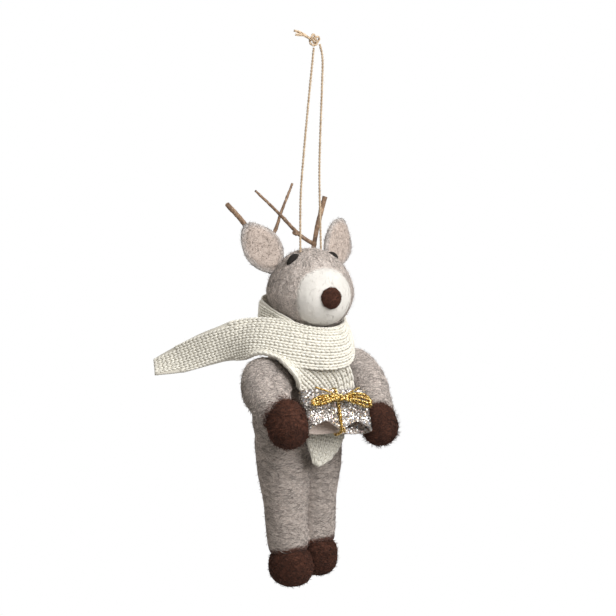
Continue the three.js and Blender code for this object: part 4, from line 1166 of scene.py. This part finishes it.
outer = stitches("scarf_stitches_outer", side=1, seed=101)
inner = stitches("scarf_stitches_inner", side=-1, seed=102)
fuzz = fibres(outer, CREAM_KNIT, None, count=1500, length=2.0, radius=0.03, grain=any_way,
              spread=1.5, seed=103, fly=0.9, lift=0.9)
print("scarf stitches", len(outer.data.polygons), "faces a side")

# %% [markdown]
# The flung end moves with a body of its own. All the scarf's pieces are blended across the bend
# where it leaves the shoulder, so that the knit curves there and doesn't tear.

# %% Scarf bend
BEND = np.array([-29.0, 14.2, -35.0]) + CROWN
BEND_WAY, BEND_REACH = np.array([-0.63, 0.776, 0]), 5
for piece in (ground, outer, inner, fuzz):
    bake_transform(piece, "figure", "scarf_end", start=(BEND - BEND_REACH * BEND_WAY) * MM,
             end=(BEND + BEND_REACH * BEND_WAY) * MM)
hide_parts("scarf_front", "scarf_collar", "scarf_hanging_end", "scarf_flung_end")
print("scarf declared,", round(scarf_long, 4), "m long")

# %% [markdown]
# Glitter ribbon is a stiff woven band with a coat of glue and foil on one face. The glue under the
# flakes is a dull grey brown, and the bare back is plain and pinkish. The flakes read their colour
# from a point value, because each one differs.

# %% Ribbon finishes
def ribbon_finish(name, dark, light, roughness):
    finish, tree, shader = start_finish(name, roughness)
    grain = add_noise(tree, 1500, detail=3)
    tree.links.new(add_ramp(tree, grain, [(0.3, dark), (0.7, light)]), shader.inputs["Base Color"])
    add_bump(tree, shader, grain, strength=0.5, depth=0.1 * MM)
    return finish


def flake_finish():
    finish, tree, shader = start_finish("glitter_flakes", roughness=0.32, metallic=0.85)
    tree.links.new(add_point_value(tree, "flake_colour", "Color"), shader.inputs["Base Color"])
    return finish


RIBBON_GLUE = ribbon_finish("glitter_ribbon", (0.20, 0.17, 0.15), (0.36, 0.32, 0.29), 0.5)
RIBBON_BACK = ribbon_finish("ribbon_back", (0.50, 0.41, 0.36), (0.64, 0.55, 0.49), 0.7)
FLAKES = flake_finish()
print("ribbon finishes ready")

# %% [markdown]
# The parcel is a piece of that ribbon, folded into a flattened tube that is open above and below,
# and drawn in at the waist by gold cord. A grid follows the two-lobed outline, with its front edge
# arched up over each lobe, and Solidify gives it its plain inner face.

# %% Parcel ribbon
PARCEL_CENTRE = np.array([-3.5, -21.2, -56.7]) + CROWN
PARCEL_LONG, PARCEL_HIGH, PARCEL_DEEP, PARCEL_WAIST, WAIST_LONG = 27, 15, 8, 4.6, 7
PARCEL_TURN = (Matrix.Rotation(math.radians(-10), 3, "Z") @ Matrix.Rotation(math.radians(5), 3, "Y")
               @ Matrix.Rotation(math.radians(-30), 3, "X"))
ARCH = 3.0


def on_parcel(points):
    """Places given from the parcel's middle, in millimetres, as places in the model, in metres."""
    return (np.asarray(points, float) @ np.array(PARCEL_TURN).T + PARCEL_CENTRE) * MM


angle = np.linspace(0, 2 * np.pi, 129)
x = np.cos(angle) * PARCEL_LONG / 2
share = np.clip(np.abs(x) / WAIST_LONG, 0, 1)
depth = PARCEL_WAIST + (PARCEL_DEEP - PARCEL_WAIST) * share ** 2 * (3 - 2 * share)
y = np.sign(np.sin(angle)) * np.abs(np.sin(angle)) ** 0.62 * depth / 2
front = np.clip(-2 * y / PARCEL_DEEP, 0, 1)
foot = -PARCEL_HIGH / 2 + ARCH * front * np.abs(np.sin(np.pi * x / (PARCEL_LONG / 2)))
climb = np.linspace(0, 1, 17)[:, None]
height = foot + climb * (PARCEL_HIGH / 2 - foot)
swell = 1 + 0.10 * np.cos(3 * angle) * (1 - climb)
outline = np.stack([x + 0 * height, y * swell, height], -1)
outline = on_parcel(outline.reshape(-1, 3)).reshape(*height.shape, 3)
ribbon = grid_piece("parcel_ribbon_folded", outline, RIBBON_GLUE)
ribbon.data.materials.append(RIBBON_BACK)
bpy.ops.object.mode_set(mode="EDIT")
bpy.ops.mesh.select_all(action="SELECT")
bpy.ops.mesh.remove_doubles(threshold=0.02 * MM)
bpy.ops.mesh.normals_make_consistent(inside=False)
bpy.ops.object.mode_set(mode="OBJECT")
apply_modifier(ribbon, "DISPLACE", texture=FINE_LUMPS, strength=0.5 * MM, mid_level=0.5)
wall = corners_of(ribbon)
out = np.array([v.normal for v in ribbon.data.vertices])
middle_line = on_parcel([[0, 0, 0]])[0]
outward = 1 if np.mean(np.sum((wall - middle_line) * out, axis=1)) > 0 else -1
apply_modifier(ribbon, "SOLIDIFY", thickness=0.5 * MM, offset=-outward, material_offset=1,
               material_offset_rim=1)
carry(ribbon, "arms", "glitter_ribbon", "parcel_ribbon")

# %% [markdown]
# Glitter is thousands of tiny hexagons of foil in a film of glue, each at its own slant, so that
# some flash and some stay dark. One hexagon is laid at each chance place on the ribbon's skin.

# %% Glitter flakes
FLAKE = 0.56
FLAKES_OUTSIDE, FLAKES_INSIDE = 7000, 2200
FOIL = np.array([[0.78, 0.74, 0.70], [0.62, 0.57, 0.52], [0.88, 0.87, 0.86], [0.13, 0.115, 0.105],
                 [0.62, 0.46, 0.26], [0.46, 0.52, 0.62], [0.66, 0.47, 0.46], [0.92, 0.91, 0.90]])
FOIL_SHARE = np.array([0.22, 0.18, 0.15, 0.22, 0.08, 0.06, 0.05, 0.04])


def flakes(name, places, normals, size, seed):
    """Hexagons of foil at the places, each tipped a little from the skin."""
    chance = np.random.default_rng(seed)
    count = len(places)
    tipped = unit(normals + chance.normal(0, 0.28, (count, 3)))
    across = unit(np.cross(tipped, chance.normal(0, 1, (count, 3))))
    over = np.cross(tipped, across)
    turn = np.arange(6) * np.pi / 3
    reach = size / 2 * chance.uniform(0.6, 1.2, count)[:, None, None] * MM
    corners = (np.cos(turn)[:, None] * across[:, None] + np.sin(turn)[:, None] * over[:, None]) * reach
    points = (places + normals * 0.09 * MM)[:, None] + corners
    mesh = bpy.data.meshes.new(name)
    mesh.from_pydata(points.reshape(-1, 3).tolist(), [], np.arange(count * 6).reshape(-1, 6).tolist())
    colour = FOIL[chance.choice(len(FOIL), count, p=FOIL_SHARE)] * chance.uniform(0.75, 1.1, (count, 1))
    colour = np.repeat(np.c_[np.clip(colour, 0, 1), np.ones(count)], 6, axis=0)
    values = mesh.attributes.new("flake_colour", "FLOAT_COLOR", "POINT").data
    values.foreach_set("color", colour.ravel())
    piece = linked(name, mesh)
    dress(piece, FLAKES)
    carry(piece, "arms", "glitter_ribbon")
    return piece


chance = np.random.default_rng(120)
places, normals = skin_points(ribbon, 26000, chance)
ribbon_skin = BVHTree.FromObject(ribbon, bpy.context.evaluated_depsgraph_get())
local = (places / MM - PARCEL_CENTRE) @ np.array(PARCEL_TURN)
glittered = np.array([ribbon.data.polygons[ribbon_skin.find_nearest(Vector(p))[2]].material_index == 0
                      for p in places])
lined = (local[:, 0] > 1.5) & ~glittered
for name, part, most, seed in (("parcel_glitter", glittered, FLAKES_OUTSIDE, 121),
                               ("parcel_glitter_inside", lined, FLAKES_INSIDE, 122)):
    flakes(name, places[part][:most], normals[part][:most], FLAKE, seed)
    print(name, most, "flakes")

# %% [markdown]
# Gold tinsel cord is strips of metal film twisted round a core, so it glints from many small
# faces. Noise through a steep ramp, from dark to bright gold, paints those glints into its colour:
# the bright gold is painted glints and the dark end painted shade, round the cord's own mid gold.

# %% Gold finish
def gold_painted_glints_finish():
    finish, tree, shader = start_finish("gold_cord", roughness=0.3, metallic=1.0)
    glint = add_noise(tree, 1700, detail=2)
    # dark end: painted shade; bright end: painted glints; the middle is the gold's own colour
    colour = add_ramp(tree, glint, [(0.4, (0.09, 0.04, 0.005)), (0.49, (0.70, 0.40, 0.075)),
                                    (0.57, (1.0, 0.82, 0.40))])
    shine = add_ramp(tree, add_point_value(tree, "tint"), [(0, grey(0.6)), (1, grey(1.15))])
    tree.links.new(add_mix(tree, colour, shine, "MULTIPLY", 1.0), shader.inputs["Base Color"])
    add_bump(tree, shader, glint, strength=0.7, depth=0.12 * MM)
    return finish


GOLD_WITH_PAINTED_GLINTS = gold_painted_glints_finish()
print("gold finish ready")

# %% [markdown]
# Each gold strand is two twisted plies, with short bright hairs standing out of it. The cord goes
# round the parcel's waist, and its bow lies on the front: two thick pressed loops below, and the
# two thin ends above.

# %% Gold cord and bow
GOLD_CORD, GOLD_KNOT, GOLD_LOOP, GOLD_END = 1.3, 0.9, 1.25, 0.8
FACE_Y, TIE_HIGH = PARCEL_WAIST / 2 + 0.75, PARCEL_HIGH / 2 + 0.75
BOW = np.array([0, -5.4, 3.6])


def gold(name, routes, diameter, node, seed, hairs, closed=False):
    """Twisted gold strands along routes from the parcel's middle, with their bright hairs."""
    lines = []
    for route in routes:
        line = on_parcel(route if closed else smooth_line(route, 60))
        long = np.linalg.norm(np.diff(line, axis=0), axis=1).sum()
        lines += plies(line, 0.25 * diameter * MM, long / (1.9 * diameter * MM))
    piece = tubes(name, lines, 0.52 * diameter * MM, GOLD_WITH_PAINTED_GLINTS, sides=1, tint=(0.2, 1), seed=seed)
    tinsel = loose_hairs(f"{name}_tinsel", np.vstack(lines[::2]), hairs * len(routes),
                         reach=0.4 * diameter * MM, length=0.9 * MM, thick=0.12 * MM, finish=GOLD_WITH_PAINTED_GLINTS,
                         seed=seed)
    carry(piece, "arms", "gold_cord", node)
    carry(tinsel, "arms", "gold_cord")


bend = np.linspace(0, 2 * np.pi, 121)
ring = np.stack([0 * bend, np.sign(np.cos(bend)) * np.abs(np.cos(bend)) ** 0.35 * FACE_Y,
                 np.sign(np.sin(bend)) * np.abs(np.sin(bend)) ** 0.35 * TIE_HIGH], 1)
gold("gold_tie", [spaced(ring, 160)], GOLD_CORD, "parcel_tie", seed=131, hairs=90, closed=True)
wind = np.linspace(0, 7 * np.pi, 90)
lump = np.stack([1.05 * np.cos(wind), 0.75 * np.sin(wind) * np.cos(wind * 0.21),
                 np.sin(wind) * np.sin(wind * 0.21)], 1)
gold("gold_bow_knot", [spaced(BOW + lump, 120)], GOLD_KNOT, "bow_knot", seed=132, hairs=30, closed=True)
for side, s, seed in (("right", -1, 133), ("left", 1, 143)):
    reach, open_by = (12.6, 1.1) if s < 0 else (12.2, 1.8)
    loop = [[BOW, BOW + (s * reach * 0.45, -1.2 + 0.3 * edge, open_by * edge - 0.9),
             BOW + (s * reach * 0.82, -0.8, 1.1 * open_by * edge - 1.9),
             BOW + (s * reach, -0.5, 0.4 * edge - 2.2)]
            for edge in (1.2, 0.55, -0.2, -0.95)]
    gold(f"gold_bow_loop_{side}", loop, GOLD_LOOP, f"bow_loop_{side}", seed, hairs=75)
    tail = [BOW, BOW + (s * 5, 0, 2.3), BOW + (s * (10 if s < 0 else 8.6), 0, 3.8)]
    gold(f"gold_bow_end_{side}", [tail], GOLD_END, f"bow_tail_{side}", seed + 1, hairs=30)
print("bow made")

# %% [markdown]
# Below the parcel the cord is cut, and its film has come apart into a small tuft.

# %% Frayed end of the gold cord
chance = np.random.default_rng(150)
fray = [on_parcel(smooth_line([[0, -FACE_Y, -6.4], [dx / 2, -FACE_Y - dy / 2, -7.6],
                               [dx, -FACE_Y - dy, -9.2]], 6))
        for dx, dy in zip(chance.normal(0, 0.9, 22), chance.uniform(-0.2, 1.2, 22))]
frayed = tubes("gold_frayed_end", fray, 0.13 * MM, GOLD_WITH_PAINTED_GLINTS, sides=0, tint=(0.2, 1), seed=151)
carry(frayed, "arms", "gold_cord")
print("tuft of", len(fray), "strips")

# %% [markdown]
# Inside, soft iron wire holds the arms, legs and neck in their bend, and a stitch of the twine
# goes through the crown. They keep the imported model's own shapes and only need a finish.

# %% Inner wires and the crown stitch
def wire_finish():
    finish, tree, shader = start_finish("steel_wire", roughness=0.35, metallic=1.0)
    drawn = add_noise(tree, 2000, detail=2, stretch=(1, 1, 0.2))
    drawn = add_ramp(tree, drawn, [(0.3, grey(0.42)), (0.7, grey(0.58))])
    tree.links.new(drawn, shader.inputs["Base Color"])
    return finish


WIRE = wire_finish()
for node, finish in (("arm_wire", WIRE), ("leg_wire", WIRE), ("neck_wire", WIRE),
                     ("crown_stitch", JUTE)):
    dress(frame["nodes"][node], finish)
print("wires finished")
